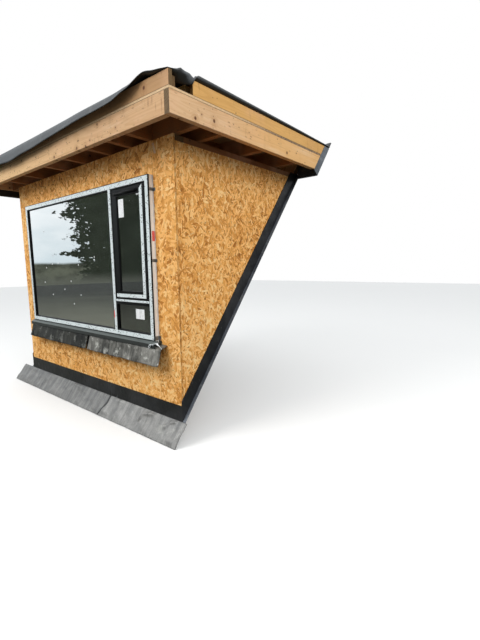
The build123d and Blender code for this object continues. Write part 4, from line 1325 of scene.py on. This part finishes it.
def mirrored_surroundings(dome):
    """What gloss mirrors: a pale upper half with soft banks, a dull lower half, and one dark ragged side."""
    side, _, height = dome.axes()
    layered = dome.stretch(1.0, 1.0, 1.7)
    slow = dome.cloud(dome.place, 5.0, rough=0.5)
    fine = dome.cloud(layered, 27.0, 8.0, 0.5)
    clumps = dome.cloud(layered, 85.0, 5.0, 0.5) - 0.5
    reach = clumps * 0.036 + (dome.cloud(layered, 240.0, rough=0.5) - 0.5) * 0.018
    for level, thickness, length in LEDGES:
        reach = reach + (height - level).size().step(thickness, 0.0) * length
    gaps = (dome.cloud(layered, 120.0, 5.0, 0.5) - 0.57).high(0.0) * 0.22
    top = (slow * 0.22 + clumps * 0.12 + 0.10 - height).step(0.0, 0.006)
    dark = (side - DARK_SIDE + reach - gaps).step(-0.0014, 0.0018) * top
    banks = dome.cloud(dome.stretch(2.0, 2.0, 7.0), 1.4, 5.0, 0.5)
    pale = dome.blend(banks.step(0.3, 0.7), seen(196, 210, 216), seen(255, 255, 255))
    dull = dome.blend(fine.step(0.35, 0.65), seen(58, 61, 53), seen(88, 92, 80))
    mirrored = dome.blend((height - slow * 0.03).step(-0.004, 0.004), dull, pale)
    mirrored = dome.blend(dark, mirrored, dome.blend(fine, seen(20, 24, 18), seen(48, 54, 44)))
    return dome.blend(height.step(-0.004, -0.040), mirrored, seen(84, 87, 80))


def set_light():
    """Soft light from all round, stronger from above, with two wide lamps, and a white background."""
    world = bpy.data.worlds.new("dome")
    bpy.context.scene.world = world
    world.use_nodes = True
    world.node_tree.nodes.clear()
    dome = Signal(world.node_tree)
    dome.place = dome.node("ShaderNodeTexCoord", output="Generated")
    upward = dome.axes()[2].high(0.0)

    def background(colour, strength):
        return dome.node("ShaderNodeBackground", inputs={"Color": colour, "Strength": strength})

    light = background(seen(250, 252, 255), upward * 0.75 + 0.45)
    gloss = background(mirrored_surroundings(dome), 2.1)
    white = background(seen(255, 255, 255), 1.0)
    camera, glossy = dome.rays()
    soft = dome.node("ShaderNodeMixShader", inputs={0: glossy, 1: light, 2: gloss})
    both = dome.node("ShaderNodeMixShader", inputs={0: camera, 1: soft, 2: white})
    dome.node("ShaderNodeOutputWorld", inputs={0: both}, output=None)
    lamp("front_lamp", (-1.5, -6.0, 6.0), 380.0)
    lamp("side_lamp", (7.0, -1.0, 6.0), 300.0)


LAMP_AIM = Vector((0.3, 0.2, 1.2))


def lamp(name, place, power):
    """A wide round lamp that points at the window."""
    data = bpy.data.lights.new(name, "AREA")
    data.shape = "DISK"
    data.size = 5.0
    data.energy = power
    made = bpy.data.objects.new(name, data)
    made.location = place
    made.rotation_euler = (LAMP_AIM - Vector(place)).to_track_quat("-Z", "Y").to_euler()
    bpy.context.scene.collection.objects.link(made)


def set_floor():
    """A pale floor at the foot of the object. It throws little light back up, and gloss mirrors it dull."""
    half = 30.0
    z = cad_box[0].z - 0.001
    mesh = bpy.data.meshes.new("floor")
    mesh.from_pydata([(x, y, z) for x, y in rectangle(-half, -half, half, half)], [], [(0, 1, 2, 3)])
    floor = bpy.data.objects.new("floor", mesh)
    bpy.context.scene.collection.objects.link(floor)
    pale = Finish("pale_floor", 0.9)
    mottle = pale.cloud(pale.place, 0.8, detail=3.0)
    near = pale.blend(mottle * 0.15, seen(236, 236, 234), seen(226, 226, 224))
    camera, glossy = pale.rays()
    x, y, _ = pale.axes()
    reach = pale.maths("SQRT", x * x + y * y) + (pale.cloud(pale.place, 0.35) - 0.5) * 9.0
    mirrored = pale.blend(reach.step(4.0, 22.0), seen(116, 117, 102), seen(33, 35, 26))
    thrown = pale.blend(glossy, seen(76, 76, 76), mirrored)
    mesh.materials.append(pale.finished(pale.blend(camera, thrown, near)))


def dress_frame():
    """The finishes of the nodes that keep their own shape, and the pieces that share a finish with them."""
    dress_timber()
    dress(strand_board(), "front_boarding", "right_cheek_boarding", "left_cheek_boarding")
    dress(deck_board(), "roof_deck")
    dress(foam(), "roof_insulation")
    strip = black_strip()
    dress(strip, "front_upstand", "right_upstand", "left_upstand")
    sill_lead(lead_sheet("sill_lead", seen(8, 9, 9), seen(60, 60, 56), 0.95, shine=0.15,
                         other=(seen(56, 56, 53), seen(152, 150, 143))), strip)
    apron(lead_sheet("apron_lead", seen(80, 80, 80), seen(134, 133, 130), 0.25, across=24.0,
                     other=(seen(94, 94, 93), seen(146, 145, 142))))
    dress(lead_sheet("side_lead", seen(62, 67, 74), seen(108, 113, 120), 0.2), "right_soaker", "left_soaker",
          "right_saddle", "left_saddle")
    black = black_coating()
    dress(black, "window_cladding", "opening_light", "spacer_bars", "sash_handle")
    drip_bar(black)
    dress(cream_frame(), "window_frame")
    dress(dark_glass("dark_glass", 4.0), "large_pane")
    dress(dark_glass("sash_glass", 3.0), "opening_light_pane")
    dress(dark_glass("lower_glass", 1.9), "lower_pane")
    dress(sill_metal(), "sub_sill")


bpy.context.scene.view_settings.view_transform = "Standard"
set_camera()
set_light()
set_floor()
dress_frame()
strand_pieces()
roof_sheet()
window_film()
labels()
frame_straps()
tapes()
glass_pads()
film_scrap()
